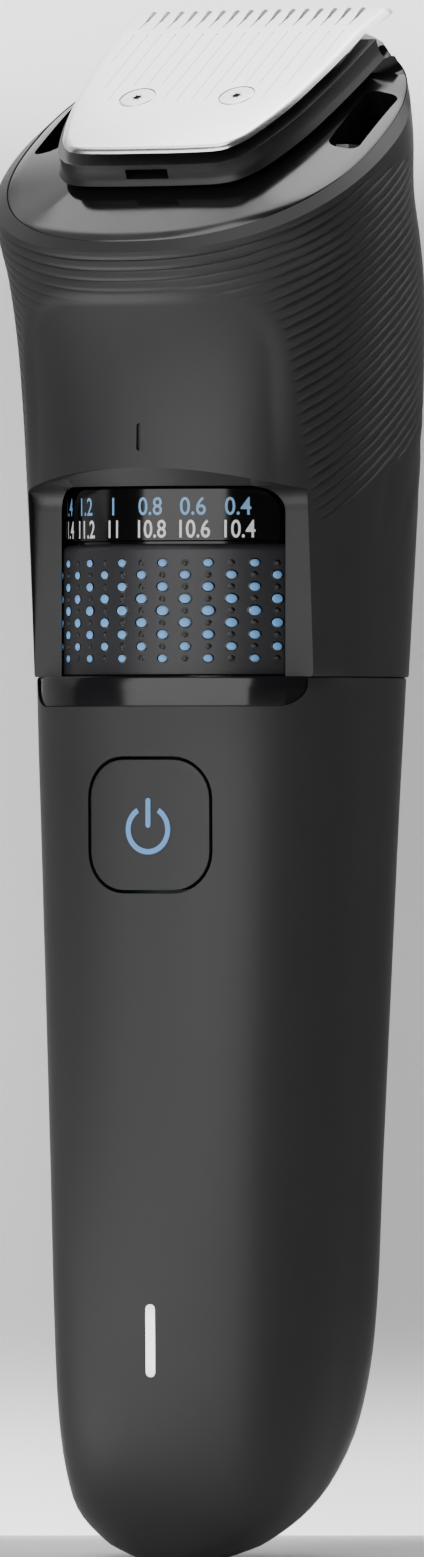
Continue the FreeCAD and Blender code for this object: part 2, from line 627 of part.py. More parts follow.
# ---------------------------------------------------------------- drive
def motor_can():
    can = rod(MOTOR_R, (0, 0, MOTOR_Z[0] - 1.7), Z_AXIS, MOTOR_Z[1] - MOTOR_Z[0] + 1.7)
    return can.cut(rod(MOTOR_R - 0.8, (0, 0, MOTOR_Z[0]), Z_AXIS, 60))


def motor_plate():
    """The motor's end cap and mounting plate, with the shaft's bearing."""
    z = MOTOR_Z[1]
    plate = rod(9.4, (0, 0, z), Z_AXIS, 2.0)
    return plate.cut(rod(1.0 + RUN, (0, 0, z - 1), Z_AXIS, 6))


def motor_rotor():
    """The rotor with its shaft."""
    z = MOTOR_Z
    core = rod(MOTOR_R - 1.6, (0, 0, z[0] + 1.5), Z_AXIS, z[1] - z[0] - 4.0)
    return core.fuse(rod(1.0, (0, 0, z[0] + 0.5), Z_AXIS, z[1] + 4.6 - z[0] - 0.5))


def eccentric():
    """The disc on the shaft, with its offset drive pin."""
    low = MOTOR_Z[1] + 2.4
    disc = rod(2.6, (0, 0, low), Z_AXIS, 2.6).cut(rod(1.0, (0, 0, low - 1), Z_AXIS, 3.2))
    pin = rod(DRIVE_PIN_R, (0, -THROW, low + 2.6), Z_AXIS, FORK_Z[1] - 0.6 - low - 2.6)
    return disc.fuse(pin).removeSplitter()


def drive_frame():
    """The bracket over the motor: four legs, a bridge plate and two ears for the lever's pivot."""
    low = MOTOR_Z[1] + 2.0
    plate = box((-8.5, 8.5), (-7.0, 9.0), BRIDGE_Z)
    plate = plate.cut(box((-5.6, 5.6), (-3.5, 6.0), (BRIDGE_Z[0] - 1, BRIDGE_Z[1] + 1)))
    middle = sum(LEVER_Y) / 2
    for x in (-6.6, 6.6):
        for y in (-5.2, 5.2):
            plate = plate.fuse(rod(1.0, (x, y, low), Z_AXIS, BRIDGE_Z[0] + 0.5 - low))
    for y in ((middle - 5.2, middle - 3.6), (middle + 3.6, middle + 5.2)):
        plate = plate.fuse(box((-6.0, 6.0), y, (BRIDGE_Z[0], PIVOT_Z + 2.5)))
    plate = plate.cut(rod(PIVOT_R, (0, middle - 8, PIVOT_Z), Y_AXIS, 16))
    return plate.removeSplitter()


def lever_pivot_pin():
    middle = sum(LEVER_Y) / 2
    return rod(PIVOT_R, (0, middle - 5.4, PIVOT_Z), Y_AXIS, 10.8)


def drive_lever():
    """The rocking lever: a fork round the drive pin, a pivot boss, and a post up into the cutter's driver."""
    swing = STROKE / POST_ARM * (PIVOT_Z - FORK_Z[0])
    gap = THROW + DRIVE_PIN_R + swing + 0.15
    middle = sum(LEVER_Y) / 2
    lever = box((-1.6, 1.6), LEVER_Y, (FORK_Z[1] + 1.0, LEVER_TOP))
    bridge = box((-gap - 1.3, gap + 1.3), (-1.6, LEVER_Y[1]), (FORK_Z[1] + 0.2, FORK_Z[1] + 2.4))
    lever = lever.fuse(bridge)
    for x in ((-gap - 1.3, -gap), (gap, gap + 1.3)):
        lever = lever.fuse(box(x, (-1.6, LEVER_Y[1]), (FORK_Z[0], FORK_Z[1] + 1.0)))
    lever = lever.fuse(rod(2.6, (0, middle - 2.9, PIVOT_Z), Y_AXIS, 5.8))
    lever = lever.cut(rod(PIVOT_R + RUN, (0, middle - 6, PIVOT_Z), Y_AXIS, 12))
    foot = DECK_BOTTOM - 6.1
    post = lean(rod(POST_R, (0, POST_S, foot), Z_AXIS, DRIVER_N[1] - 0.1 - foot))
    return lever.fuse(post).removeSplitter()


def lever_boot():
    """The rubber boot that keeps hair and water out where the lever leaves the deck."""
    outer = slot((BOOT_HALF, BOOT_HALF), (0, POST_S), (DECK_BOTTOM, PLATEAU_N - 0.2), 1.9, Z_AXIS)
    hole = slot((STROKE + POST_R + 0.35, POST_R + 0.45), (0, POST_S), (130, 145), POST_R + 0.4, Z_AXIS)
    return lean(outer.cut(hole))


# ---------------------------------------------------------------- head
def head_frame():
    """The black frame under the guard, hollow for the cutter's driver, with a notch at its front."""
    face = plate_face(0.55, FRAME_BOTTOM)
    frame = face.extrude(Vec(0, 0, PLATE_EDGE - 0.05 - FRAME_BOTTOM))
    frame = frame.cut(box((-12.4, 12.4), (76.5, 86.5), (FRAME_BOTTOM + 0.9, 150)))
    frame = frame.cut(box((-14.8, 14.8), (84.5, 95), (FRAME_BOTTOM + 0.9, 150)))
    opening = (STROKE + POST_R + 0.6, POST_R + 0.8)
    frame = frame.cut(slot(opening, (0, POST_S), (FRAME_BOTTOM - 1, 150), POST_R + 0.5, Z_AXIS))
    frame = frame.cut(box((-2.6, 2.6), (60, 65.6), (139.6, 140.8)))
    for x in (-SCREW_X, SCREW_X):
        frame = frame.cut(rod(0.9, (x, SCREW_S, FRAME_BOTTOM + 0.4), Z_AXIS, 9))
    return lean(frame)


def guard_plate():
    """The steel guard: a flat plate with a turned-down edge, whose front is a row of comb teeth."""
    top = PLATE_TOP
    plate = plate_face(0, PLATE_EDGE).extrude(Vec(0, 0, top - PLATE_EDGE))
    inner = plate_face(0.55, PLATE_EDGE - 1).extrude(Vec(0, 0, top - PLATE_THICK - PLATE_EDGE + 1))
    inner = inner.fuse(box((-14.9, 14.9), (84.0, 95.0), (PLATE_EDGE - 1, top - PLATE_THICK)))
    plate = plate.cut(inner)
    side = PLATE_OUTLINE[-1][0]
    corners = [(side, BEND_S), (TIP_HALF, TIP_S), (-TIP_HALF, TIP_S), (-side, BEND_S)]
    outline = [Vec(x, s, top - PLATE_THICK) for x, s in corners]
    strip = Part.Face(Part.makePolygon(outline + outline[:1])).extrude(Vec(0, 0, PLATE_THICK))
    bend = math.degrees(math.atan2(TIP_DROP, TIP_S - BEND_S))
    strip.rotate(Vec(0, BEND_S, top), X_AXIS, -bend)
    plate = plate.fuse(strip)
    for x in gap_places():
        root = Part.makeCylinder(GAP_HALF, 6, Vec(x, GAP_ROOT + GAP_HALF, top - 4), Z_AXIS)
        gap = box((x - GAP_HALF, x + GAP_HALF), (GAP_ROOT + GAP_HALF, TIP_S + 1), (top - 4, top + 2))
        plate = plate.cut(root.fuse(gap))
    for x in (-SCREW_X, SCREW_X):
        plate = plate.cut(rod(SCREW_R + 0.05, (x, SCREW_S, top - 0.25), Z_AXIS, 2))
        plate = plate.cut(rod(1.0, (x, SCREW_S, top - 3), Z_AXIS, 6))
    return lean(plate)


def guard_screw(side):
    head = 0.24
    piece = rod(SCREW_R, (0, 0, PLATE_TOP - head), Z_AXIS, head)
    piece = piece.fuse(rod(0.85, (0, 0, PLATE_TOP - 3.2), Z_AXIS, 3.1))
    for k in range(3):
        bar = box((-0.6, 0.6), (-0.16, 0.16), (PLATE_TOP - 0.6, PLATE_TOP + 1))
        bar.rotate(ORIGIN, Z_AXIS, 60 * k)
        piece = piece.cut(bar)
    piece.translate(Vec(side * SCREW_X, SCREW_S, 0))
    return lean(piece)


def cutter_blade():
    """The moving blade under the guard, toothed along its front."""
    top = PLATE_TOP - PLATE_THICK - 0.75
    half = 14.4 - STROKE
    blade = box((-half, half), (85.0, BEND_S + 0.7), (top - 0.5, top))
    for x in gap_places():
        if abs(x) < half - 0.4:
            blade = blade.fuse(box((x - 0.45, x + 0.45), (BEND_S, TIP_S - 1.1), (top - 0.5, top)))
    return lean(blade.removeSplitter())


def cutter_driver():
    """The plastic block under the blade; the lever's post works in its slot."""
    block = box((-7.0, 7.0), (86.0, 90.0), (DRIVER_N[0], DRIVER_N[1]))
    block = block.fuse(box((-3.6, 3.6), (POST_S - 2.6, 87.0), (DRIVER_N[0], DRIVER_N[1])))
    room = (POST_R + 0.12, POST_R + 0.45)
    return lean(block.cut(slot(room, (0, POST_S), (130, 150), POST_R - 0.01, Z_AXIS)))


def cutter_spring():
    """The wire spring that presses the blade up against the guard."""
    n = FRAME_BOTTOM + 1.35
    wire = rod(0.35, (-10.5, 78.4, n), Y_AXIS, 12.0)
    wire = wire.fuse(rod(0.35, (10.5, 78.4, n), Y_AXIS, 12.0))
    wire = wire.fuse(rod(0.35, (-10.5, 78.4, n), X_AXIS, 4.6))
    return lean(wire.fuse(rod(0.35, (5.9, 78.4, n), X_AXIS, 4.6)))


def head_latch():
    """The snap tongue that holds the head down in the deck."""
    tongue = box((-LATCH_HALF, LATCH_HALF), LATCH_S, (LATCH_N, FRAME_BOTTOM))
    return lean(rounded(tongue, Z_AXIS, 0.5))


PIECES = {
    "lower_housing": lower_housing,
    "upper_housing": upper_housing,
    "deck": deck,
    "window_ledge": window_ledge,
    "housing_seal": housing_seal,
    "length_wheel": length_wheel,
    "dot_sleeve": dot_sleeve,
    "number_ring": number_ring,
    "cam_sleeve": cam_sleeve,
    "click_spring": click_spring,
    "comb_carriage": comb_carriage,
    "comb_follower_pin": comb_follower_pin,
    "power_button": power_button,
    "button_symbol": button_symbol,
    "button_seal": button_seal,
    "switch_body": switch_body,
    "switch_plunger": switch_plunger,
    "light_guide": light_guide,
    "led_chip": led_chip,
    "circuit_board": circuit_board,
    "chassis": chassis,
    "battery_cell": battery_cell,
    "battery_pad": battery_pad,
    "charge_socket": charge_socket,
    "socket_seal": socket_seal,
    "motor_can": motor_can,
    "motor_plate": motor_plate,
    "motor_rotor": motor_rotor,
    "eccentric": eccentric,
    "drive_frame": drive_frame,
    "lever_pivot_pin": lever_pivot_pin,
    "drive_lever": drive_lever,
    "lever_boot": lever_boot,
    "head_frame": head_frame,
    "guard_plate": guard_plate,
    "cutter_blade": cutter_blade,
    "cutter_driver": cutter_driver,
    "cutter_spring": cutter_spring,
    "head_latch": head_latch,
}


def all_pieces():
    made = {name: make() for name, make in PIECES.items()}
    for side, word in ((-1, "left"), (1, "right")):
        made["deck_screw_" + word] = deck_screw(side)
        made["guard_screw_" + word] = guard_screw(side)
        made["chassis_screw_" + word] = chassis_screw(side)
        made["charge_pin_" + word] = charge_pin(side)
    made["battery_tab_top"] = battery_tab(CELL_Z[1] + 0.9, 0.4)
    made["battery_tab_bottom"] = battery_tab(CELL_Z[0] - 0.4, 0.4)
    return made


def main():
    os.makedirs("parts", exist_ok=True)
    for name, shape in all_pieces().items():
        shape.translate(Vec(0, AXIS_Y, 0))
        shape.exportStep("parts/" + name + ".step")
        print(name, len(shape.Solids), round(shape.Volume, 1), shape.isValid())


main()
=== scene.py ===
# %% [markdown]
# # A cordless beard trimmer
# The working model comes from CAD as a fixed frame of loose triangles. It is right in size but plain, so
# this lesson rebuilds the surfaces that the eye sees and gives every other piece a proper finish.
# Everything is worked out in millimetres round the wheel's axis and turned to metres when it is set down.

# %% Load the frame
import json
import math

import bpy
import numpy as np
from mathutils import Matrix, Vector


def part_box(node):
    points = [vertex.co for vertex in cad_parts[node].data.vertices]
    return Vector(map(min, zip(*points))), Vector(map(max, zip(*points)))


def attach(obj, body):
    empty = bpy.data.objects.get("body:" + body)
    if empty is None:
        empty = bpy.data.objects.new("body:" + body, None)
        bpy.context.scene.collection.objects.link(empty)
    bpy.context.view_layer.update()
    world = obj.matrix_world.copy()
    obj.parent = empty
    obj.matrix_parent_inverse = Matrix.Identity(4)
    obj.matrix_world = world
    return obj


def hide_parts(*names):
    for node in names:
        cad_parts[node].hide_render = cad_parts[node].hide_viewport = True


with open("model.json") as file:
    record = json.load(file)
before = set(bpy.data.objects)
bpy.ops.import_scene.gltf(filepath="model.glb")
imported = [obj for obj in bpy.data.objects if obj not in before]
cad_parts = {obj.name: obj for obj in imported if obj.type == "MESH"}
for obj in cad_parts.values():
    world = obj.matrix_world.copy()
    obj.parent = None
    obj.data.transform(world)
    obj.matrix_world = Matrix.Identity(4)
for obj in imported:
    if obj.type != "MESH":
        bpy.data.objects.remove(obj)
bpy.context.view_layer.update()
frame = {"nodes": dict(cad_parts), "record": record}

nodes = frame["nodes"]
low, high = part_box("length_wheel")
AXIS_Y = (low.y + high.y) / 2 * 1000

# %% [markdown]
# ## Small tools
# A mesh is easiest to reason about as rows of points. These helpers make an object from points and faces,
# join rows into a skin, turn a profile into a lathe piece, and cut one solid with another.

# %% Making and cutting meshes
def new_piece(name, points, faces):
    mesh = bpy.data.meshes.new(name)
    mesh.from_pydata([tuple(p) for p in points], [], faces)
    mesh.update()
    piece = bpy.data.objects.new(name, mesh)
    bpy.context.scene.collection.objects.link(piece)
    return piece


def skin_faces(rows, columns, closed=True):
    """Quads between rows of points, each row running once round."""
    last = columns if closed else columns - 1
    faces = []
    for r in range(rows - 1):
        for c in range(last):
            d = (c + 1) % columns
            faces.append((r * columns + c, r * columns + d, (r + 1) * columns + d, (r + 1) * columns + c))
    return faces


def face_outwards(piece):
    import bmesh
    work = bmesh.new()
    work.from_mesh(piece.data)
    bmesh.ops.remove_doubles(work, verts=work.verts, dist=1e-5)
    bmesh.ops.recalc_face_normals(work, faces=work.faces)
    work.to_mesh(piece.data)
    work.free()
    return piece


def ring_solid(name, rows):
    """A closed solid from rows that go round a section and come back to the first row."""
    rows = np.array(rows)
    count, columns = rows.shape[:2]
    faces = skin_faces(count, columns)
    for c in range(columns):
        d = (c + 1) % columns
        faces.append(((count - 1) * columns + c, (count - 1) * columns + d, d, c))
    return face_outwards(new_piece(name, rows.reshape(-1, 3), faces))


def lathe(name, profile, count=180):
    """Turn a closed profile of (radius, height) points round the vertical axis."""
    angle = np.arange(count) * 2 * np.pi / count
    rows = [np.stack([r * np.cos(angle), r * np.sin(angle), np.full(count, z)], 1) for r, z in profile]
    return ring_solid(name, rows)


def prism(name, outline, start, end, frame_of):
    """Push a closed 2-D outline from one depth to another; frame_of turns (u, v, depth) into a point."""
    count = len(outline)
    points = [frame_of(u, v, start) for u, v in outline] + [frame_of(u, v, end) for u, v in outline]
    faces = [tuple(range(count)), tuple(range(count, 2 * count))]
    faces += [(k, (k + 1) % count, (k + 1) % count + count, k + count) for k in range(count)]
    return face_outwards(new_piece(name, points, faces))


def bake(piece):
    """Turn a piece and its modifiers into a plain mesh."""
    graph = bpy.context.evaluated_depsgraph_get()
    mesh = bpy.data.meshes.new_from_object(piece.evaluated_get(graph))
    piece.modifiers.clear()
    piece.data = mesh
    return piece


def carve(piece, cutter, how="DIFFERENCE"):
    tool = piece.modifiers.new("carve", "BOOLEAN")
    tool.operation = how
    tool.solver = "EXACT"
    tool.object = cutter
    bake(piece)
    bpy.data.objects.remove(cutter)
    return piece


def soften(piece, width, segments=2, angle=40):
    tool = piece.modifiers.new("soften", "BEVEL")
    tool.width = width
    tool.segments = segments
    tool.limit_method = "ANGLE"
    tool.angle_limit = math.radians(angle)
    tool.harden_normals = False
    return bake(piece)


def rounded_outline(half_u, low_v, high_v, radii, steps=8):
    """A rectangle with its own radius at each corner: low right, high right, high left, low left."""
    corners = [(half_u, low_v, -90), (half_u, high_v, 0), (-half_u, high_v, 90), (-half_u, low_v, 180)]
    points = []
    for (u, v, start), radius in zip(corners, radii):
        cu = u - math.copysign(radius, u)
        cv = v + radius if v == low_v else v - radius
        for k in range(steps + 1):
            a = math.radians(start + 90 * k / steps)
            points.append((cu + radius * math.cos(a), cv + radius * math.sin(a)))
    return points


def front(u, v, depth):
    """Outline seen from the front: across, up, and how far back."""
    return (u, depth, v)


LEAN = math.radians(31)


def leant(x, s, n):
    """A point of the leaning head: across, up the head, and off its face."""
    return (x, s * math.cos(LEAN) - n * math.sin(LEAN), s * math.sin(LEAN) + n * math.cos(LEAN))


# %% Setting a piece down
def settle(piece, body, finish, stands_for=(), sharp=35):
    """Give the piece its finish, turn millimetres to metres and let it ride on a body."""
    piece.data.transform(Matrix.Scale(0.001, 4) @ Matrix.Translation((0, AXIS_Y, 0)))
    piece.data.materials.clear()
    for one in finish if isinstance(finish, (list, tuple)) else [finish]:
        piece.data.materials.append(one)
    piece.data.shade_smooth()
    piece.data.set_sharp_from_angle(angle=math.radians(sharp))
    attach(piece, body)
    if stands_for:
        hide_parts(*stands_for)
    print(piece.name, "faces:", len(piece.data.polygons))
    return piece


# %% [markdown]
# ## Finishes
# Each finish starts from the real material. Moulded ABS has a fine spark-eroded grain, so its shine breaks up
# and it never looks like one flat grey; polished parts keep only a faint waviness; steel is brushed one way.

# %% Colours and nodes
def colour(code):
    """A hex sRGB colour as linear numbers."""
    parts = [int(code[k:k + 2], 16) / 255 for k in (1, 3, 5)]
    return tuple(p / 12.92 if p <= 0.04045 else ((p + 0.055) / 1.055) ** 2.4 for p in parts) + (1.0,)


def add(tree, kind, settings=None, links=None):
    """Add one node: settings are socket values or node properties, links are socket name to output."""
    node = tree.nodes.new(kind)
    for key, value in (settings or {}).items():
        if key in node.inputs:
            node.inputs[key].default_value = value
        else:
            setattr(node, key, value)
    for key, source in (links or {}).items():
        tree.links.new(source, node.inputs[key])
    return node


def start_finish(name):
    finish = bpy.data.materials.new(name)
    finish.use_nodes = True
    tree = finish.node_tree
    shader = tree.nodes["Principled BSDF"]
    place = add(tree, "ShaderNodeTexCoord").outputs["Object"]
    return finish, tree, shader, place


def blend_colours(tree, first, second, amount):
    mix = add(tree, "ShaderNodeMix", {"data_type": "RGBA"}, {0: amount})
    mix.inputs[6].default_value = colour(first)
    mix.inputs[7].default_value = colour(second)
    return mix.outputs[2]


def set_shader(shader, **values):
    for key, value in values.items():
        shader.inputs[key.replace("_", " ")].default_value = value


# %% Moulded, polished and brushed finishes
def moulded(name, dark, light, rough, grain_mm=0.35, bump=0.12, **more):
    """Moulded plastic: two close colours in a cloudy pattern, and a fine grain that scatters the shine."""
    finish, tree, shader, place = start_finish(name)
    cloud = add(tree, "ShaderNodeTexNoise", {"Scale": 1000 / 9.0, "Detail": 3.0}, {"Vector": place})
    tree.links.new(blend_colours(tree, dark, light, cloud.outputs["Fac"]), shader.inputs["Base Color"])
    grain = add(tree, "ShaderNodeTexNoise", {"Scale": 1000 / grain_mm, "Detail": 2.0}, {"Vector": place})
    spread = add(tree, "ShaderNodeMapRange", {"To Min": rough - 0.05, "To Max": rough + 0.05},
                 {"Value": grain.outputs["Fac"]})
    tree.links.new(spread.outputs["Result"], shader.inputs["Roughness"])
    dent = add(tree, "ShaderNodeBump", {"Strength": bump, "Distance": 0.00003},
               {"Height": grain.outputs["Fac"]})
    tree.links.new(dent.outputs["Normal"], shader.inputs["Normal"])
    set_shader(shader, IOR=1.5, **more)
    return finish


def brushed(name, dark, light, rough, along=(1, 30, 30), **more):
    """Brushed steel: long thin streaks in one direction, in colour and in roughness."""
    finish, tree, shader, place = start_finish(name)
    turned = add(tree, "ShaderNodeMapping", {"Rotation": (-LEAN, 0, 0), "Scale": along}, {"Vector": place})
    streak = add(tree, "ShaderNodeTexNoise", {"Scale": 1000 / 6.0, "Detail": 4.0},
                 {"Vector": turned.outputs["Vector"]})
    tree.links.new(blend_colours(tree, dark, light, streak.outputs["Fac"]), shader.inputs["Base Color"])
    spread = add(tree, "ShaderNodeMapRange", {"To Min": rough - 0.05, "To Max": rough + 0.05},
                 {"Value": streak.outputs["Fac"]})
    tree.links.new(spread.outputs["Result"], shader.inputs["Roughness"])
    dent = add(tree, "ShaderNodeBump", {"Strength": 0.06, "Distance": 0.00002},
               {"Height": streak.outputs["Fac"]})
    tree.links.new(dent.outputs["Normal"], shader.inputs["Normal"])
    set_shader(shader, Metallic=1.0, **more)
    return finish


# Soft-touch ABS of the housings: charcoal, matt, with a broad soft shine.
soft_abs = moulded("soft_touch_abs", "#1b1b1d", "#1f1f21", 0.46)
# The same ABS made a little lighter for the rim's band: painted sheen, standing for the light the band
# catches.
rim_abs_painted_sheen = moulded("rim_abs_painted_sheen", "#222224", "#262628", 0.38)
# Polished ABS of the deck and the ledge: nearly black, mirror-like.
piano_abs = moulded("polished_abs", "#121214", "#161618", 0.13, grain_mm=3.0, bump=0.02)
# Polished ring that carries the numbers.
number_abs_and_painted_shade = moulded("number_ring_abs_and_painted_shade", "#050506", "#070708", 0.12, grain_mm=3.0, bump=0.02)
# Satin ABS of the wheel.
wheel_abs = moulded("satin_wheel_abs", "#1f1f22", "#242427", 0.42)
# Satin nylon of the frame under the guard.
frame_nylon = moulded("head_frame_nylon", "#131314", "#171718", 0.4)
# Light blue elastomer of the dots.
blue_rubber = moulded("blue_elastomer", "#659fda", "#70a9e2", 0.45)
# Pad-printed ink, blue and white.
blue_ink = moulded("blue_ink", "#6f9fcb", "#78a8d2", 0.4, bump=0.03)
white_ink = moulded("white_ink", "#dcdcdc", "#e6e6e6", 0.4, bump=0.03)
# Stainless guard, brushed across, then bead-blasted: bright and soft.
guard_steel = brushed("stainless_guard", "#eaeaea", "#f6f6f6", 0.24)
edge_steel = brushed("polished_steel_edge", "#d8d8d9", "#e6e6e7", 0.2)
# Blade steel painted near black: the darkness stands for the shade under the guard, where the blade's points
# show in the slits; the screws' recesses use it as painted shade too.
blade_steel = brushed("blade_steel_painted_dark_as_shade", "#1c1c1d", "#262627", 0.34)
print("finishes so far:", len(bpy.data.materials))

# %% [markdown]
# ## The outline of the body
# The handle is a rounded square at every height, a superellipse, whose width, front and back change slowly on
# the way up. A few heights describe it and the rest is read off smoothly between them.

# %% Body outline
STATIONS = np.array([
    (0.0, 4.2, 13.6, -7.6, 2.2), (0.7, 6.4, 13.9, -5.6, 2.3), (1.8, 8.9, 14.5, -3.3, 2.5),
    (5.1, 12.6, 15.8, 1.1, 2.7), (9.0, 14.4, 16.7, 6.0, 2.8), (15.0, 15.8, 17.3, 10.6, 2.8),
    (25.0, 16.7, 17.5, 13.6, 2.8), (45.0, 17.35, 17.8, 14.9, 2.8), (81.0, 18.7, 18.0, 16.5, 2.8),
    (89.0, 19.15, 18.25, 17.1, 2.7), (97.4, 19.6, 19.1, 18.5, 2.5), (111.5, 20.2, 20.2, 20.2, 2.4),
    (120.6, 20.6, 20.7, 20.8, 2.4), (127.0, 20.9, 21.1, 21.1, 2.4), (134.7, 21.3, 21.9, 20.9, 2.4),
    (141.4, 21.8, 23.2, 20.0, 2.4), (146.0, 22.3, 24.5, 18.0, 2.4), (151.3, 22.7, 25.0, 15.9, 2.3),
    (158.0, 22.8, 25.0, 16.0, 2.2), (165.0, 21.4, 25.0, 16.8, 2.2), (172.0, 19.0, 25.0, 17.0, 2.2)])
SPLIT_Z = 97.4
PROUD = 0.25
RIM_N = 136.5


def outline_at(z):
    """Half-width, front, back and power at each height, by the same smooth rule as the CAD model."""
    z = np.clip(np.asarray(z, float), STATIONS[0, 0], STATIONS[-1, 0] - 1e-6)
    k = np.clip(np.searchsorted(STATIONS[:, 0], z, side="right") - 1, 0, len(STATIONS) - 2)
    ends = np.arange(len(STATIONS))
    after, before = np.minimum(ends + 1, len(STATIONS) - 1), np.maximum(ends - 1, 0)
    run = STATIONS[after, 0] - STATIONS[before, 0]
    slopes = (STATIONS[after, 1:] - STATIONS[before, 1:]) / run[:, None]
    step = (STATIONS[k + 1, 0] - STATIONS[k, 0])[..., None]
    t = ((z - STATIONS[k, 0])[..., None]) / step
    a, b = STATIONS[k, 1:], STATIONS[k + 1, 1:]
    rise = (3 - 2 * t) * t * t
    values = a + (b - a) * rise + t * (1 - t) ** 2 * slopes[k] * step - t * t * (1 - t) * slopes[k + 1] * step
    return [values[..., i] for i in range(4)]


def on_body(angle, z, inset=0.0):
    """Points of the body's skin at given turns and heights, taken in by inset."""
    width, fore, back, power = outline_at(z)
    half = (fore + back) / 2 - inset
    c, s = np.cos(angle), np.sin(angle)
    x = (width - inset) * np.sign(c) * np.abs(c) ** (2 / power)
    y = (back - fore) / 2 + half * np.sign(s) * np.abs(s) ** (2 / power)
    return np.stack([x, y, np.broadcast_to(z, x.shape)], -1)


def turns(count):
    """Turns round the section, evenly spaced."""
    even = (np.arange(count) + 0.5) * 2 * np.pi / count
    return even


def fade(value, start, end):
    t = np.clip((value - start) / (end - start), 0, 1)
    return t * t * (3 - 2 * t)


print("width at the split:", round(float(outline_at(SPLIT_Z)[0]) * 2, 2), "mm")

# %% [markdown]
# ## Lower housing
# One moulded shell. It is a skin of rows laid over the outline, with an inner skin for the wall, and then the
# openings are cut: the button, the light's slot, the ledge and the charging inlet.

# %% Lower housing
WALL = 1.8
BUTTON_Z, BUTTON_HALF, BUTTON_ROUND = 81.1, (7.3, 7.15), 4.2
LIGHT_Z, LIGHT_HALF = (20.4, 28.4), 0.575
INLET_Y = -9.7
LEDGE_LOW, LEDGE_HALF = 94.2, 16.7


def upright_box(half_u, low_v, high_v, radius, start=-40, end=-8, name="cutter", low_radius=None):
    low_radius = radius if low_radius is None else low_radius
    outline = rounded_outline(half_u, low_v, high_v, (low_radius, radius, radius, low_radius))
    return prism(name, outline, start, end, front)


def button_block(extra, start, end, name="cutter"):
    u, v = BUTTON_HALF[0] + extra, BUTTON_HALF[1] + extra
    return upright_box(u, BUTTON_Z - v, BUTTON_Z + v, BUTTON_ROUND + extra, start, end, name)


def lower_housing():
    angle = turns(256)
    foot = np.array([0, 0.15, 0.4, 0.7, 1.1, 1.6, 2.2, 2.9, 3.7, 4.6, 5.6, 6.8, 8.2, 9.8, 11.6, 13.6])
    levels = np.concatenate([foot, np.linspace(15.6, SPLIT_Z - 0.35, 56)])
    outer = [on_body(angle, np.full(256, z)) for z in levels]
    outer.append(on_body(angle, np.full(256, SPLIT_Z - 0.1), 0.08))
    outer.append(on_body(angle, np.full(256, SPLIT_Z), 0.3))
    inner = [on_body(angle, np.full(256, z), WALL) for z in (SPLIT_Z, 80.0, 60.0, 40.0, 25.0, 15.0, 9.0, 5.6)]
    rows = outer + inner
    points = np.array(rows).reshape(-1, 3)
    faces = skin_faces(len(rows), 256)
    faces.append(tuple(range(256)))
    faces.append(tuple(range(len(points) - 256, len(points))))
    shell = face_outwards(new_piece("lower_shell", points, faces))
    carve(shell, button_block(0.4, -30, -10))
    light = (LIGHT_HALF + 0.04, LIGHT_Z[0] - 0.04, LIGHT_Z[1] + 0.04, LIGHT_HALF)
    carve(shell, upright_box(*light, -30, -10))
    carve(shell, upright_box(LEDGE_HALF + 0.08, LEDGE_LOW - 0.08, LEDGE_LOW + 12, 2.5))
    inlet = rounded_outline(4.5, INLET_Y - 2.6, INLET_Y + 2.6, (2.55,) * 4)
    carve(shell, prism("cutter", inlet, -2, 9, lambda u, v, depth: (u, v, depth)))
    return shell


lower_shell = settle(lower_housing(), "handle", soft_abs, ["lower_housing"], sharp=40)

# %% [markdown]
# ## Upper housing
# This shell carries the shape people know: a leaning rim, a thumb scoop with soft edges, the wheel's
# window with a bevel, and fine grip ribs that run parallel to the rim. The ribs are real geometry. Rows
# of the skin are laid parallel to the rim, so each rib gets a handful of rows of its own.

# %% Rim and ribs
RIB_PITCH, RIB_DEPTH, RIB_FIRST = 1.13, 0.17, 1.0
SCOOP_HALF, SCOOP_TOP, SCOOP_ROUND = 16.6, 140.0, 8.0


def rim_height(angle, level, inset=0.0):
    """The height at which each turn of the skin meets the leaning plane n = level."""
    z = np.full(angle.shape, 155.0)
    for _ in range(60):
        y = on_body(angle, z, inset)[..., 1]
        z = 0.5 * z + 0.5 * (level + y * math.sin(LEAN)) / math.cos(LEAN)
    return z


def scoop_share(x, z, y):
    """1 inside the thumb scoop, 0 outside, with a soft edge."""
    reach = SCOOP_ROUND
    dx = np.maximum(np.abs(x) - (SCOOP_HALF - reach), 0)
    dz = np.maximum(z - (SCOOP_TOP - reach), 0)
    outside = np.hypot(dx, dz) - reach
    return (1 - fade(outside, -2.0, 0.2)) * (y < 0)


def scoop_depth(x, z):
    """How deep the scoop is pressed in: a hollow for the thumb, shallow at its top, sides and lower edge."""
    up = np.clip((z - 119.0) / (SCOOP_TOP - 119.0), 0, 1)
    edge = 1 - 0.55 * fade(np.abs(x), 4.0, SCOOP_HALF)
    return (0.42 + 0.75 * np.sin(np.pi * up)) * edge - 0.1 * up


def rib_strength(x, y, z):
    """Ribs are deep at the front corners and sides and die out down the sides and round the back."""
    turn = np.degrees(np.arctan2(x, -y))
    side = np.abs(turn)
    end = np.where(side < 40, 136.0, 136.0 - 25.0 * fade(side, 40, 60))
    end = end + 40.0 * fade(side, 112, 170)
    return fade(z, end, end + 7.0) * (1 - scoop_share(x, z, y))


def shape_skin(points):
    """Press the scoop and the ribs into points of the plain skin."""
    x, y, z = points[..., 0], points[..., 1], points[..., 2]
    radius = np.hypot(x, y)
    moved = radius - scoop_depth(x, z) * scoop_share(x, z, y)
    depth = RIM_N - (z * math.cos(LEAN) - y * math.sin(LEAN))
    phase = (depth - RIB_FIRST) / RIB_PITCH
    wave = (0.5 - 0.5 * np.cos(2 * np.pi * phase)) ** 6.0
    turn = np.degrees(np.abs(np.arctan2(x, -y)))
    first = RIB_FIRST + 4.4 * fade(turn, 55, 112)
    wave = wave * fade(depth, first - 0.2, first + 0.2) * (phase > 0)
    moved = moved - RIB_DEPTH * wave * rib_strength(x, y, z)
    scale = moved / radius
    return np.stack([x * scale, y * scale, z], -1)


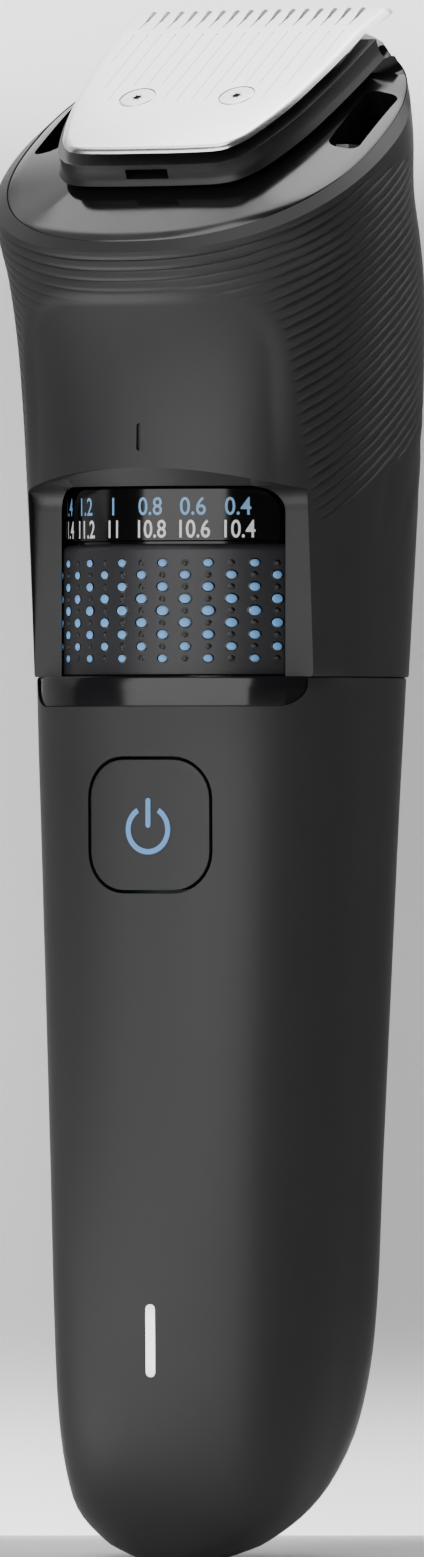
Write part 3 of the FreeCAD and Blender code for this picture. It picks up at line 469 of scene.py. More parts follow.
# %% Upper housing shell
DECK_CENTRE, DECK_HALF, DECK_POWER = 77.55, (21.7, 23.0), 2.35


def deck_edge(angle, extra=0.0):
    """The rim's inner edge, seen square to the deck: across, and up the head."""
    c, s = np.cos(angle), np.sin(angle)
    x = (DECK_HALF[0] + extra) * np.sign(c) * np.abs(c) ** (2 / DECK_POWER)
    up = DECK_CENTRE + (DECK_HALF[1] + extra) * np.sign(s) * np.abs(s) ** (2 / DECK_POWER)
    return x, up


def upper_housing():
    columns = 320
    angle = turns(columns)
    top = rim_height(angle, RIM_N - 0.75, -PROUD)
    rows = []
    fine, reach = 250, 35.0
    for k in range(fine):
        rows.append(shape_skin(on_body(angle, top - reach * k / fine, -PROUD)))
    start = top - reach
    for k in range(17):
        z = start + (SPLIT_Z + 0.35 - start) * k / 16
        rows.append(shape_skin(on_body(angle, z, -PROUD)))
    rows.append(on_body(angle, np.full(columns, SPLIT_Z + 0.05), -PROUD + 0.06))
    rows.append(on_body(angle, np.full(columns, SPLIT_Z), -PROUD + 0.3))
    circle = 18.35
    bottom = np.arctan2(rows[-1][:, 1], rows[-1][:, 0])
    for z in (SPLIT_Z, 119.0):
        rows.append(np.stack([circle * np.cos(bottom), circle * np.sin(bottom), np.full(columns, z)], 1))
    rows.append(np.stack([14 * np.cos(bottom), 14 * np.sin(bottom), np.full(columns, 119.0)], 1))
    rows.append(np.stack([14 * np.cos(bottom), 14 * np.sin(bottom), np.full(columns, 120.6)], 1))
    for z in (121.0, 132.0):
        rows.append(on_body(angle, np.full(columns, z), 2.6))
    x, s = deck_edge(angle, 0.03)
    for n, tight in ((RIM_N - 2.4, 0.985), (RIM_N - 0.12, 1.0)):
        rows.append(np.array([leant(a * tight, DECK_CENTRE + (b - DECK_CENTRE) * tight, n)
                              for a, b in zip(x, s)]))
    rows.append(np.array([leant(a * 1.002, DECK_CENTRE + (b - DECK_CENTRE) * 1.002, RIM_N)
                          for a, b in zip(x, s)]))
    return ring_solid("upper_shell", rows)


def window_cutter():
    """The window: open to the wheel, with flat shoulders beside it and a bevel along its rounded top."""
    bore, top, corner = 18.35, 118.35, 2.8
    profile = [(bore - 0.4, 90), (bore - 0.4, top), (bore, top), (bore + 6, top + 6), (42, top + 6), (42, 90)]
    cone = lathe("cutter", profile, 240)
    back = [(-44, 89), (-12.0, 89)]
    for k in range(9):
        t = k / 8
        x = 13.9 - corner * (1 - math.sqrt(1 - t * t))
        back.append((-math.sqrt(bore ** 2 - x ** 2), top - corner + corner * t))
    back += [(back[-1][0] - 4, top + 4), (-44, top + 4)]
    carve(cone, prism("cutter", back, -30, 30, lambda u, v, depth: (depth, u, v)), "INTERSECT")
    arch = [(17.3 * k / 12, 120.35 - 2.4 * (k / 12) ** 2) for k in range(12, -13, -1)]
    frame_outline = [(-17.3, 89.5), (17.3, 89.5)] + arch
    carve(cone, prism("cutter", frame_outline, -43, -2, front), "INTERSECT")
    return cone


upper = upper_housing()
carve(upper, window_cutter())
mark = upright_box(0.27, 122.2, 125.2, 0.26, -30, -19.85)
carve(upper, mark)
upper_shell = settle(upper, "handle", soft_abs, ["upper_housing"], sharp=33)

# %% [markdown]
# ## Deck
# The glossy deck closes the top. It rises from the rim to a plateau that follows the cutting head's
# outline, with a rounded edge between, so it is laid out as rings along rays from its middle. Two pockets
# let the comb's arms out.

# %% Deck
HEAD_SIDE = np.array([(0, 63.5), (5.0, 63.55), (9.0, 63.9), (10.9, 65.3), (12.2, 67.8), (13.8, 73.3),
                      (14.8, 79.7), (15.4, 85.5), (15.8, 91.1)])
POCKET_X, POCKET_S = (16.6, 20.2), (73.8, 86.4)
PLATEAU_N, DECK_LOW = 138.7, 134.6


def smooth_line(points, count):
    """A smooth line through a few points, read off at even steps (Catmull-Rom)."""
    points = np.array(points, float)
    padded = np.vstack([2 * points[0] - points[1], points, 2 * points[-1] - points[-2]])
    result = []
    for t in np.linspace(0, len(points) - 1 - 1e-9, count):
        k, f = int(t), t - int(t)
        a, b, c, d = padded[k:k + 4]
        result.append(0.5 * (2 * b + (c - a) * f + (2 * a - 5 * b + 4 * c - d) * f ** 2
                             + (3 * b - a - 3 * c + d) * f ** 3))
    return np.array(result)


def head_outline(inset, count=48):
    """The guard's outline from its right rear corner round the front to the left, taken in by inset."""
    right = smooth_line(HEAD_SIDE, count)
    full = np.vstack([right[::-1], right[1:] * (-1, 1)])
    run = np.gradient(full, axis=0)
    run /= np.linalg.norm(run, axis=1)[:, None]
    return full + np.stack([run[:, 1], -run[:, 0]], 1) * -inset


def ray_radius(outline, middle, angles):
    """How far each ray from the middle runs before it meets a closed outline."""
    rel = np.array(outline) - middle
    turn = np.unwrap(np.arctan2(rel[:, 1], rel[:, 0]))
    order = np.argsort(turn % (2 * np.pi))
    return np.interp(angles % (2 * np.pi), (turn % (2 * np.pi))[order], np.hypot(*rel.T)[order],
                     period=2 * np.pi)


def deck_piece():
    columns, middle = 240, np.array([0, 78.0])
    angle = np.arange(columns) * 2 * np.pi / columns
    x, s = deck_edge(np.linspace(0, 2 * np.pi, 721)[:-1], 0.0)
    rim = ray_radius(np.stack([x, s], 1), middle, angle)
    grown = head_outline(-2.3)
    rear = [(19.6, 94.0), (16.0, 97.4), (8.0, 99.2), (0, 99.6), (-8.0, 99.2), (-16.0, 97.4), (-19.6, 94.0)]
    plateau = np.minimum(ray_radius(np.vstack([grown, rear[::-1]]), middle, angle), rim - 0.5)
    rings = []
    drop = RIM_N - PLATEAU_N

    def ring(radius, n):
        rings.append([leant(r * math.cos(a), middle[1] + r * math.sin(a), level)
                      for r, a, level in zip(radius, angle, np.broadcast_to(n, angle.shape))])

    ring(rim * 0.97 - 0.1, DECK_LOW)
    ring(rim - 0.02, RIM_N - 0.2)
    ring(rim - 0.06, RIM_N - 0.06)
    for k in range(9):
        t = 0.02 + 0.98 * k / 8
        radius = rim + (plateau - rim) * t
        level = RIM_N - drop * (t - 0.06 * fade(np.array(t), 0.8, 1.0))
        ring(radius - 0.08, level)
    ring(plateau - 0.45, PLATEAU_N)
    ring(plateau - 1.2, PLATEAU_N)
    ring(plateau * 0.5, PLATEAU_N)
    points = np.array(rings).reshape(-1, 3)
    faces = skin_faces(len(rings), columns)
    faces.append(tuple(range(columns)))
    faces.append(tuple(range(len(points) - columns, len(points))))
    piece = face_outwards(new_piece("deck_shell", points, faces))
    for side in (-1, 1):
        mid = side * (POCKET_X[0] + POCKET_X[1]) / 2
        outline = rounded_outline((POCKET_X[1] - POCKET_X[0]) / 2, *POCKET_S, (1.2,) * 4)
        carve(piece, prism("cutter", [(u + mid, v) for u, v in outline], 130, 145, leant))
    hole = rounded_outline(3.5, 76.5, 83.5, (2.0,) * 4)
    carve(piece, prism("cutter", hole, 130, 145, leant))
    latch = rounded_outline(3.3, 66.3, 68.7, (0.8,) * 4)
    return carve(piece, prism("cutter", latch, 130, 145, leant))


deck_shell = settle(deck_piece(), "handle", piano_abs, ["deck"], sharp=32)

# %% [markdown]
# ## Glossy ledge
# The ledge under the window is part of the ring that the wheel turns on. Its front is polished and almost
# flush with the handle, so it is the body's outline taken in by a hair, trimmed to a strip with rounded
# lower corners.

# %% Ledge
def ledge_piece():
    angle = turns(256)
    rows = []
    for z, inset in ((LEDGE_LOW - 1, 0.3), (LEDGE_LOW + 0.1, 0.22), (96.0, 0.2), (97.2, 0.2), (97.42, 0.34),
                     (97.45, 0.5)):
        row = on_body(angle, np.full(256, 94.9), inset)
        row[:, 2] = z
        rows.append(row)
    for z in (97.45, LEDGE_LOW - 1):
        rows.append(np.stack([14.6 * np.cos(angle), 14.6 * np.sin(angle), np.full(256, z)], 1))
    band = ring_solid("ledge", rows)
    carve(band, upright_box(LEDGE_HALF, LEDGE_LOW, LEDGE_LOW + 12, 2.5, -40, -8.2), "INTERSECT")
    return band


ledge = settle(ledge_piece(), "handle", piano_abs, sharp=40)
ring_back = lathe("ledge_ring", [(17.85, 94.25), (17.85, 97.4), (14.65, 97.4), (14.65, 94.25)])
inner_cut = upright_box(LEDGE_HALF + 0.1, LEDGE_LOW - 1, LEDGE_LOW + 12, 2.5, -40, -8.1)
carve(ring_back, inner_cut)
ledge_ring = settle(ring_back, "handle", piano_abs, ["window_ledge"])

# %% [markdown]
# ## The length wheel
# The grip is a turned ring with a rounded shoulder. Its dots come through from a second shot of blue
# elastomer: forty-four columns, nine rows, blue in every other place and a small dark pip between. Under
# each dot and pip lies a near-black disc whose rim shows as a dark ring, painted shade for its recess. A
# pattern this regular is what Geometry Nodes are for: points by index, an instance on each, then
# realised.

# %% Wheel rings
WHEEL_R, NUMBER_R, GRIP_TOP, NUMBER_TOP = 18.05, 17.5, 112.0, 118.2


def shoulder(radius, top, rounding, steps=6):
    """Profile points of a rounded outer corner."""
    points = []
    for k in range(steps + 1):
        a = math.pi / 2 * k / steps
        points.append((radius - rounding + rounding * math.cos(a), top - rounding + rounding * math.sin(a)))
    return points


grip_profile = [(WHEEL_R - 0.15, 97.55), (WHEEL_R, 97.7)] + shoulder(WHEEL_R, GRIP_TOP, 0.9)
grip_profile += [(16.4, GRIP_TOP), (16.4, 97.55)]
grip = settle(lathe("grip_ring", grip_profile, 240), "wheel", wheel_abs, ["length_wheel"])
number_profile = [(NUMBER_R - 0.3, GRIP_TOP), (NUMBER_R - 0.3, GRIP_TOP + 0.25), (NUMBER_R, GRIP_TOP + 0.4)]
number_profile += shoulder(NUMBER_R, NUMBER_TOP, 0.2, 3) + [(15.9, NUMBER_TOP), (15.9, GRIP_TOP)]
number_ring = settle(lathe("number_band", number_profile, 240), "wheel", number_abs_and_painted_shade,
                     ["number_ring"])

# %% Dots by Geometry Nodes
COLUMNS, ROWS, FIRST_TURN = 44, 9, 5.7
ROW_TOP, ROW_PITCH = 109.9, 1.3125


def field_math(tree, operation, first, second=None):
    node = add(tree, "ShaderNodeMath", {"operation": operation})
    for socket, value in zip(node.inputs, (first, second)):
        if isinstance(value, (int, float)):
            socket.default_value = value
        elif value is not None:
            tree.links.new(value, socket)
    return node.outputs[0]


def dot_tree(name, finish):
    """Points on a drum in columns and rows; a flattened ball on every place of one parity."""
    tree = bpy.data.node_groups.new(name, "GeometryNodeTree")
    tree.interface.new_socket("Geometry", in_out="INPUT", socket_type="NodeSocketGeometry")
    for label, value in (("Columns", COLUMNS), ("Rows", ROWS), ("Parity", 0)):
        tree.interface.new_socket(label, in_out="INPUT", socket_type="NodeSocketInt").default_value = value
    sizes = (("Drum Radius", WHEEL_R), ("Top", ROW_TOP), ("Pitch", ROW_PITCH), ("First Turn", FIRST_TURN),
             ("Across", 1.3), ("Up", 1.0), ("Proud", 0.3), ("Taper", 0.06))
    for label, value in sizes:
        tree.interface.new_socket(label, in_out="INPUT", socket_type="NodeSocketFloat").default_value = value
    tree.interface.new_socket("Geometry", in_out="OUTPUT", socket_type="NodeSocketGeometry")
    given = add(tree, "NodeGroupInput").outputs
    total = field_math(tree, "MULTIPLY", given["Columns"], given["Rows"])
    cloud = add(tree, "GeometryNodePoints", links={"Count": total})
    index = add(tree, "GeometryNodeInputIndex").outputs[0]
    column = field_math(tree, "MODULO", index, given["Columns"])
    row = field_math(tree, "FLOOR", field_math(tree, "DIVIDE", field_math(tree, "ADD", index, 0.5),
                                               given["Columns"]))
    step = field_math(tree, "DIVIDE", 360.0, given["Columns"])
    degrees = field_math(tree, "ADD", field_math(tree, "MULTIPLY", column, step), given["First Turn"])
    turn = field_math(tree, "RADIANS", degrees)
    x = field_math(tree, "MULTIPLY", field_math(tree, "SINE", turn), given["Drum Radius"])
    y = field_math(tree, "MULTIPLY", field_math(tree, "COSINE", turn), given["Drum Radius"])
    y = field_math(tree, "MULTIPLY", y, -1.0)
    z = field_math(tree, "SUBTRACT", given["Top"], field_math(tree, "MULTIPLY", row, given["Pitch"]))
    place = add(tree, "ShaderNodeCombineXYZ", links={"X": x, "Y": y, "Z": z}).outputs[0]
    placed = add(tree, "GeometryNodeSetPosition", links={"Geometry": cloud.outputs[0], "Position": place})
    sum_ = field_math(tree, "ADD", field_math(tree, "ADD", column, row), given["Parity"])
    odd = field_math(tree, "MODULO", sum_, 2.0)
    chosen = field_math(tree, "LESS_THAN", odd, 0.5)
    middle = field_math(tree, "MULTIPLY", field_math(tree, "SUBTRACT", given["Rows"], 1.0), 0.5)
    away = field_math(tree, "ABSOLUTE", field_math(tree, "SUBTRACT", row, middle))
    shrink = field_math(tree, "SUBTRACT", 1.0, field_math(tree, "MULTIPLY", away, given["Taper"]))
    across = field_math(tree, "MULTIPLY", given["Across"], shrink)
    up = field_math(tree, "MULTIPLY", given["Up"], field_math(tree, "POWER", shrink, 0.85))
    size = add(tree, "ShaderNodeCombineXYZ", links={"X": across, "Y": given["Proud"], "Z": up}).outputs[0]
    aim = add(tree, "ShaderNodeCombineXYZ", links={"Z": turn}).outputs[0]
    ball = add(tree, "GeometryNodeMeshUVSphere", {"Segments": 14, "Rings": 8, "Radius": 0.5})
    spread = add(tree, "GeometryNodeInstanceOnPoints",
                 links={"Points": placed.outputs[0], "Selection": chosen, "Instance": ball.outputs[0],
                        "Rotation": aim, "Scale": size})
    real = add(tree, "GeometryNodeRealizeInstances", links={0: spread.outputs[0]})
    finished = add(tree, "GeometryNodeSetMaterial", {"Material": finish}, {"Geometry": real.outputs[0]})
    add(tree, "NodeGroupOutput", links={0: finished.outputs[0]})
    return tree


def dots(name, finish, **sizes):
    piece = new_piece(name, [(0, 0, 0)], [])
    tree = dot_tree(name + "_nodes", finish)
    spread = piece.modifiers.new("dots", "NODES")
    spread.node_group = tree
    keys = {item.name: item.identifier for item in tree.interface.items_tree if item.in_out == "INPUT"}
    for label, value in sizes.items():
        spread[keys[label.replace("_", " ")]] = value
    return bake(piece)


blue_dots = dots("blue_dots", blue_rubber, Across=1.42, Up=1.06, Proud=0.4)
settle(blue_dots, "wheel", blue_rubber, ["dot_sleeve"])
# Painted shade: near-black discs a little wider than the dots and pips, so a dark ring round each stands for
# the shadow in its recess.
dot_painted_shade = dots("dot_painted_shade_discs", number_abs_and_painted_shade, Across=1.78, Up=1.36, Proud=0.14)
settle(dot_painted_shade, "wheel", number_abs_and_painted_shade)
pip_painted_shade = dots("pip_painted_shade_discs", number_abs_and_painted_shade, Parity=1, Across=0.8, Up=0.74, Proud=0.1, Taper=0.0)
settle(pip_painted_shade, "wheel", number_abs_and_painted_shade)
pips = dots("grip_pips", wheel_abs, Parity=1, Across=0.56, Up=0.5, Proud=0.36, Taper=0.0)
settle(pips, "wheel", wheel_abs)

# %% [markdown]
# ## Numbers on the dial
# Twenty settings share twenty-two places. Each number is set as flat text, sliced into narrow strips so
# that it can bend, and wrapped round the ring. The upper row is for the short comb and the lower for the
# long one.

# %% Numbers
def number_text(label, size):
    data = bpy.data.curves.new(label, "FONT")
    data.body, data.size, data.align_x, data.offset = label, size, "CENTER", 0.008 * size
    data.space_character = 1.0
    piece = bpy.data.objects.new(label, data)
    bpy.context.scene.collection.objects.link(piece)
    graph = bpy.context.evaluated_depsgraph_get()
    mesh = bpy.data.meshes.new_from_object(piece.evaluated_get(graph))
    bpy.data.objects.remove(piece)
    return mesh


def wrapped_numbers(name, labels, base_z, size, squeeze):
    import bmesh
    work = bmesh.new()
    step = 2 * math.pi / 22
    for k, label in enumerate(labels):
        mesh = number_text(label, size)
        part = bmesh.new()
        part.from_mesh(mesh)
        for cut in np.arange(-3, 3.01, 0.3):
            every = part.verts[:] + part.edges[:] + part.faces[:]
            bmesh.ops.bisect_plane(part, geom=every, plane_co=(cut, 0, 0), plane_no=(1, 0, 0))
        turn = -(k - 2) * step
        for v in part.verts:
            a = turn + v.co.x * squeeze / NUMBER_R
            radius = NUMBER_R + 0.02
            v.co = (radius * math.sin(a), -radius * math.cos(a), base_z + v.co.y)
        part.to_mesh(mesh)
        part.free()
        work.from_mesh(mesh)
    mesh = bpy.data.meshes.new(name)
    work.to_mesh(mesh)
    work.free()
    piece = bpy.data.objects.new(name, mesh)
    bpy.context.scene.collection.objects.link(piece)
    return piece


lengths = [0.2 * k for k in range(2, 11)] + [2 + 0.5 * k for k in range(1, 7)] + list(range(6, 11))
upper_labels = [f"{v:.1f}".rstrip("0").rstrip(".") for v in lengths]
lower_labels = [f"{v + 10:.1f}".rstrip("0").rstrip(".") for v in lengths]
short_row = wrapped_numbers("short_comb_numbers", upper_labels, 115.2, 2.75, 0.9)
settle(short_row, "wheel", blue_ink)
long_row = wrapped_numbers("long_comb_numbers", lower_labels, 112.7, 2.75, 0.83)
settle(long_row, "wheel", white_ink)
print(upper_labels[:5], lower_labels[:5])

# %% [markdown]
# ## Button, its mark, and the light
# The button is a piece of the handle's own skin with a gap round it, so it is cut from the same outline. The
# on-off mark is an inlay of light blue plastic, and the battery light is a clear bar that glows white.

# %% Button and mark
def body_plug(block, name):
    """The part of the handle's outline that lies inside a block."""
    angle = turns(256)
    levels = np.linspace(block[0], block[1], 26)
    rows = [on_body(angle, np.full(256, z), block[2]) for z in levels]
    points = np.array(rows).reshape(-1, 3)
    faces = skin_faces(len(rows), 256)
    faces.append(tuple(range(256)))
    faces.append(tuple(range(len(points) - 256, len(points))))
    return face_outwards(new_piece(name, points, faces))


cap = body_plug((BUTTON_Z - 9, BUTTON_Z + 9, 0.05), "button_cap")
carve(cap, button_block(0, -30, -15.9), "INTERSECT")
soften(cap, 0.22, 3, 50)
settle(cap, "button", soft_abs, ["power_button"])

SYMBOL_R, SYMBOL_LINE, SYMBOL_FRONT = 2.45, 0.6, -18.02
symbol_blue = moulded("symbol_blue", "#5b93d0", "#649bd6", 0.35, bump=0.03)


def symbol_ring():
    """The open ring of the mark, laid on the button's face, with round ends."""
    gap, half = math.radians(31), SYMBOL_LINE / 2
    outline = []
    turn = np.linspace(gap, 2 * math.pi - gap, 60)
    for a in turn:
        outline.append(((SYMBOL_R + half) * math.sin(a), (SYMBOL_R + half) * math.cos(a)))
    for a in turn[::-1]:
        outline.append(((SYMBOL_R - half) * math.sin(a), (SYMBOL_R - half) * math.cos(a)))
    return [(u, v + BUTTON_Z - 0.5) for u, v in outline]


ring_mark = prism("mark_ring", symbol_ring(), SYMBOL_FRONT, -17.75, front)
settle(ring_mark, "button", symbol_blue, ["button_symbol"])
bar = rounded_outline(SYMBOL_LINE / 2, BUTTON_Z - 0.3, BUTTON_Z + 2.95, (SYMBOL_LINE / 2 - 0.01,) * 4)
settle(prism("mark_bar", bar, SYMBOL_FRONT, -17.75, front), "button", symbol_blue)

# %% Battery light
lit = bpy.data.materials.new("lit_acrylic")
lit.use_nodes = True
shader = lit.node_tree.nodes["Principled BSDF"]
place = add(lit.node_tree, "ShaderNodeTexCoord").outputs["Object"]
parts = add(lit.node_tree, "ShaderNodeSeparateXYZ", links={"Vector": place})
middle = sum(LIGHT_Z) / 2000
away = add(lit.node_tree, "ShaderNodeMath", {"operation": "SUBTRACT"}, {0: parts.outputs["Z"]})
away.inputs[1].default_value = middle
length = add(lit.node_tree, "ShaderNodeMath", {"operation": "ABSOLUTE"}, {0: away.outputs[0]})
glow = add(lit.node_tree, "ShaderNodeMapRange",
           {"From Min": 0.0024, "From Max": 0.0042, "To Min": 1.6, "To Max": 0.9},
           {"Value": length.outputs[0]})
set_shader(shader, Base_Color=colour("#f4f4f4"), Roughness=0.3, Emission_Color=colour("#ffffff"))
lit.node_tree.links.new(glow.outputs["Result"], shader.inputs["Emission Strength"])
light_bar = body_plug((LIGHT_Z[0] - 2, LIGHT_Z[1] + 2, 0.02), "battery_light")
carve(light_bar, upright_box(LIGHT_HALF, *LIGHT_Z, LIGHT_HALF - 0.01, -30, -13.6), "INTERSECT")
settle(light_bar, "handle", lit, ["light_guide"])

# %% [markdown]
# ## The cutting head
# The guard is stamped from stainless steel with its edge turned down. Its front is bent a few degrees and
# slit into a comb; fine lines are pressed in behind each slit, and two screws with star recesses hold it
# to a black frame. The toothed blade runs under it; its steel is painted near black as the shade under the
# guard, so its points show dark in the slits.

# %% Guard
PLATE_TOP, PLATE_EDGE, BEND_S, TIP_S = 142.9, 141.4, 91.1, 97.0
TOOTH_PITCH, SCREW_X, SCREW_S = 1.743, 6.17, 75.7
TIP_DROP = 0.5
BEND = TIP_DROP / (TIP_S - BEND_S)
SLITS = [(k - 7.5) * TOOTH_PITCH for k in range(16)]


def guard_outline():
    """Sides and front from the head's outline, then out to the rounded corners of the toothed strip."""
    right_land = [(16.3, 95.6), (16.25, 96.6), (15.7, 97.25), (14.6, 97.35)]
    left_land = [(-x, s) for x, s in right_land]
    return [tuple(p) for p in head_outline(0)] + left_land + right_land[::-1]


def line_ends(k):
    """The lower end of each pressed line; those behind the screws stop short."""
    k = min(k, 15 - k)
    return [84.0, 78.0, 75.2, 78.3, 78.3, 78.6, 74.85, 74.85][k]


def bend_down(piece):
    """Bend the toothed strip down past the bend line."""
    count = len(piece.data.vertices)
    flat = np.empty(count * 3)
    piece.data.vertices.foreach_get("co", flat)
    flat = flat.reshape(-1, 3)
    flat[:, 2] -= np.maximum(flat[:, 1] - BEND_S, 0) * BEND
    piece.data.vertices.foreach_set("co", flat.ravel())


def lean_back(piece):
    piece.data.transform(Matrix.Rotation(LEAN, 4, "X"))
    return piece


def flat(u, v, depth):
    return (u, v, depth)


def cross_cut(piece, s):
    """An edge loop across a flat piece, so that it can bend there."""
    import bmesh
    work = bmesh.new()
    work.from_mesh(piece.data)
    every = work.verts[:] + work.edges[:] + work.faces[:]
    bmesh.ops.bisect_plane(work, geom=every, plane_co=(0, s, 0), plane_no=(0, 1, 0))
    work.to_mesh(piece.data)
    work.free()


def guard_piece():
    plate = prism("guard", guard_outline(), PLATE_EDGE - 3.0, PLATE_TOP, flat)
    soften(plate, 1.2, 7, 50)
    carve(plate, prism("cutter", rounded_outline(30, 50, 110, (1,) * 4), PLATE_EDGE - 9, PLATE_EDGE, flat))
    inner = [tuple(p) for p in head_outline(0.6)] + [(-14.6, 99.0), (14.6, 99.0)]
    carve(plate, prism("cutter", inner, PLATE_EDGE - 1, PLATE_TOP - 0.5, flat))
    under = rounded_outline(20, 91.6, 99.5, (0.1,) * 4, 1)
    carve(plate, prism("cutter", under, PLATE_EDGE - 1, PLATE_TOP - 0.75, flat))
    for slit in SLITS:
        right = [(0.08, 91.7), (0.14, 93.4), (0.3, 94.6), (0.5, 95.5), (0.5, 96.4), (0.42, 98.6)]
        wedge = [(slit - u, v) for u, v in right[::-1]] + [(slit + u, v) for u, v in right]
        carve(plate, prism("cutter", wedge, PLATE_EDGE - 1, PLATE_TOP + 1, flat))
    for k, slit in enumerate(SLITS):
        low, high = line_ends(k), BEND_S - 0.8
        line = [(slit - 0.07, low), (slit + 0.07, low), (slit + 0.07, high), (slit - 0.07, high)]
        carve(plate, prism("cutter", line, PLATE_TOP - 0.12, PLATE_TOP + 1, flat))
    for x in (-SCREW_X, SCREW_X):
        seat = lathe("cutter", [(2.13, PLATE_TOP - 0.3), (2.13, PLATE_TOP + 1), (0.01, PLATE_TOP + 1),
                                (0.01, PLATE_TOP - 0.3)], 48)
        seat.data.transform(Matrix.Translation((x, SCREW_S, 0)))
        carve(plate, seat)
    cross_cut(plate, BEND_S)
    bend_down(plate)
    return lean_back(plate)


guard = settle(guard_piece(), "head", guard_steel, ["guard_plate"], sharp=28)

# %% Screws in the guard
def star_screw(name, x):
    """A thin pan head, softly rounded, with a six-pointed recess."""
    profile = [(0.001, PLATE_TOP - 0.26), (2.03, PLATE_TOP - 0.26), (2.03, PLATE_TOP - 0.08),
               (1.95, PLATE_TOP - 0.01), (1.8, PLATE_TOP + 0.01), (0.001, PLATE_TOP + 0.02)]
    head = lathe(name, profile, 64)
    star = []
    for k in range(24):
        a = 2 * math.pi * k / 24
        radius = 0.78 if k % 4 == 0 else 0.44
        star.append((radius * math.cos(a), radius * math.sin(a)))
    carve(head, prism("cutter", star, PLATE_TOP - 0.24, PLATE_TOP + 1, flat))
    # The dark star on the recess floor is painted shade, not a separate part of the screw.
    recess = prism(name + "_recess", star, PLATE_TOP - 0.25, PLATE_TOP - 0.2, flat)
    for piece in (head, recess):
        piece.data.transform(Matrix.Translation((x, SCREW_S, 0)))
        lean_back(piece)
    return head, recess


for side, word in ((-1, "left"), (1, "right")):
    head, recess = star_screw("screw_" + word, side * SCREW_X)
    settle(head, "head", edge_steel, ["guard_screw_" + word])
    settle(recess, "head", blade_steel)

# %% Frame under the guard
def frame_piece():
    rows = []
    for inset, n in ((1.1, 139.0), (0.75, 139.35), (0.6, 139.8), (0.55, 140.8), (0.6, 141.35)):
        edge = head_outline(inset)
        rows.append([leant(x, min(s, 91.0), n) for x, s in edge])
    rows = np.array(rows)
    count, columns = rows.shape[:2]
    faces = skin_faces(count, columns)
    faces.append(tuple(range(columns)))
    faces.append(tuple(range((count - 1) * columns, count * columns)))
    piece = face_outwards(new_piece("head_body", rows.reshape(-1, 3), faces))
    carve(piece, prism("cutter", rounded_outline(2.6, 60, 65.4, (0.2,) * 4, 2), 139.65, 140.8, leant))
    carve(piece, prism("cutter", rounded_outline(12.4, 76.5, 86.5, (0.5,) * 4, 2), 139.6, 150, leant))
    carve(piece, prism("cutter", rounded_outline(14.4, 84.5, 99, (0.5,) * 4, 2), 139.6, 150, leant))
    return carve(piece, prism("cutter", rounded_outline(3.1, 78, 82, (1.5,) * 4), 130, 150, leant))


settle(frame_piece(), "head", frame_nylon, ["head_frame"])

# %% Moving blade
def blade_piece():
    top = PLATE_TOP - 0.5 - 0.35
    outline = [(-13.1, 85.0), (13.1, 85.0), (13.1, 92.4)]
    for slit in SLITS[::-1]:
        outline += [(slit + 0.14, 92.4), (slit + 0.2, 94.6), (slit + 0.48, 95.7), (slit, 97.6),
                    (slit - 0.48, 95.7), (slit - 0.2, 94.6), (slit - 0.14, 92.4)]
    outline = [p for p in outline if abs(p[0]) < 13.9] + [(-13.1, 92.4)]
    blade = prism("blade", outline, top - 0.45, top, flat)
    cross_cut(blade, BEND_S)
    bend_down(blade)
    return lean_back(blade)


settle(blade_piece(), "cutter", blade_steel, ["cutter_blade"])

# %% [markdown]
# ## Everything inside
# The inner pieces keep their CAD shapes. They are seen only through the pockets and when the head is off,
# but each still gets the finish of what it is: nylon, acetal, rubber, plated steel, glass-epoxy board.

# %% Inner finishes
inner = {
    "inner_plastic": moulded("glass_filled_nylon", "#222225", "#2b2b2e", 0.5, grain_mm=0.6),
    "acetal": moulded("natural_acetal", "#cfcfca", "#dadad5", 0.35),
    "carriage_plastic": moulded("grey_acetal", "#77777a", "#848487", 0.32),
    "seal_rubber": moulded("silicone_rubber", "#141414", "#1b1b1b", 0.55),
    "spring_steel": brushed("spring_steel", "#9a9a9c", "#b4b4b6", 0.25),
    "motor_steel": brushed("plated_can_steel", "#a0a0a2", "#b8b8ba", 0.28),
    "contact_metal": brushed("plated_brass", "#b59a5c", "#cbb071", 0.25),
    "cell_wrap": moulded("cell_wrap", "#2c5f8f", "#33699b", 0.35, grain_mm=2.0),
    "board_laminate": moulded("board_laminate", "#0c4a2a", "#115833", 0.3, grain_mm=1.5),
    "light_guide_plastic": moulded("clear_acrylic", "#d8d8da", "#e6e6e8", 0.15),
    "blade_steel": blade_steel,
}
slot_of = {part["node"]: part["material_slot"] for part in frame["record"]["subparts"]}
for name, node in nodes.items():
    if node.hide_render:
        continue
    node.data.materials.clear()
    node.data.materials.append(inner[slot_of[name]])
print("CAD pieces shown:", sum(not n.hide_render for n in nodes.values()))

# %% [markdown]
# ## Studio
# The setting is a pale floor and a pale wall close behind. The soft grey halo round the object is painted
# shade, the wall glowing less at the object's height, with a real soft shadow from the close wall added. A
# big soft light stands in front on the left, a panel hangs above for the deck, and a small card lies below
# for the guard's edge. Polished plastic shows what it mirrors, so the wall's upper part glows: the deck and
# guard mirror it.

# %% Floor, wall, lights and camera
def plain(name, code, rough=0.9):
    finish, tree, shader, place = start_finish(name)
    set_shader(shader, Roughness=rough, Base_Color=colour(code))
    return finish


def panel(name, corners, finish):
    piece = new_piece(name, corners, [(0, 1, 2, 3)])
    piece.data.materials.append(finish)
    return piece


VIEW = math.radians(27.3)


def ramp(tree, value, start, end, low, high):
    limits = {"From Min": start, "From Max": end, "To Min": low, "To Max": high}
    node = add(tree, "ShaderNodeMapRange", limits, {"Value": value})
    node.interpolation_type = "SMOOTHSTEP"
    return node.outputs["Result"]


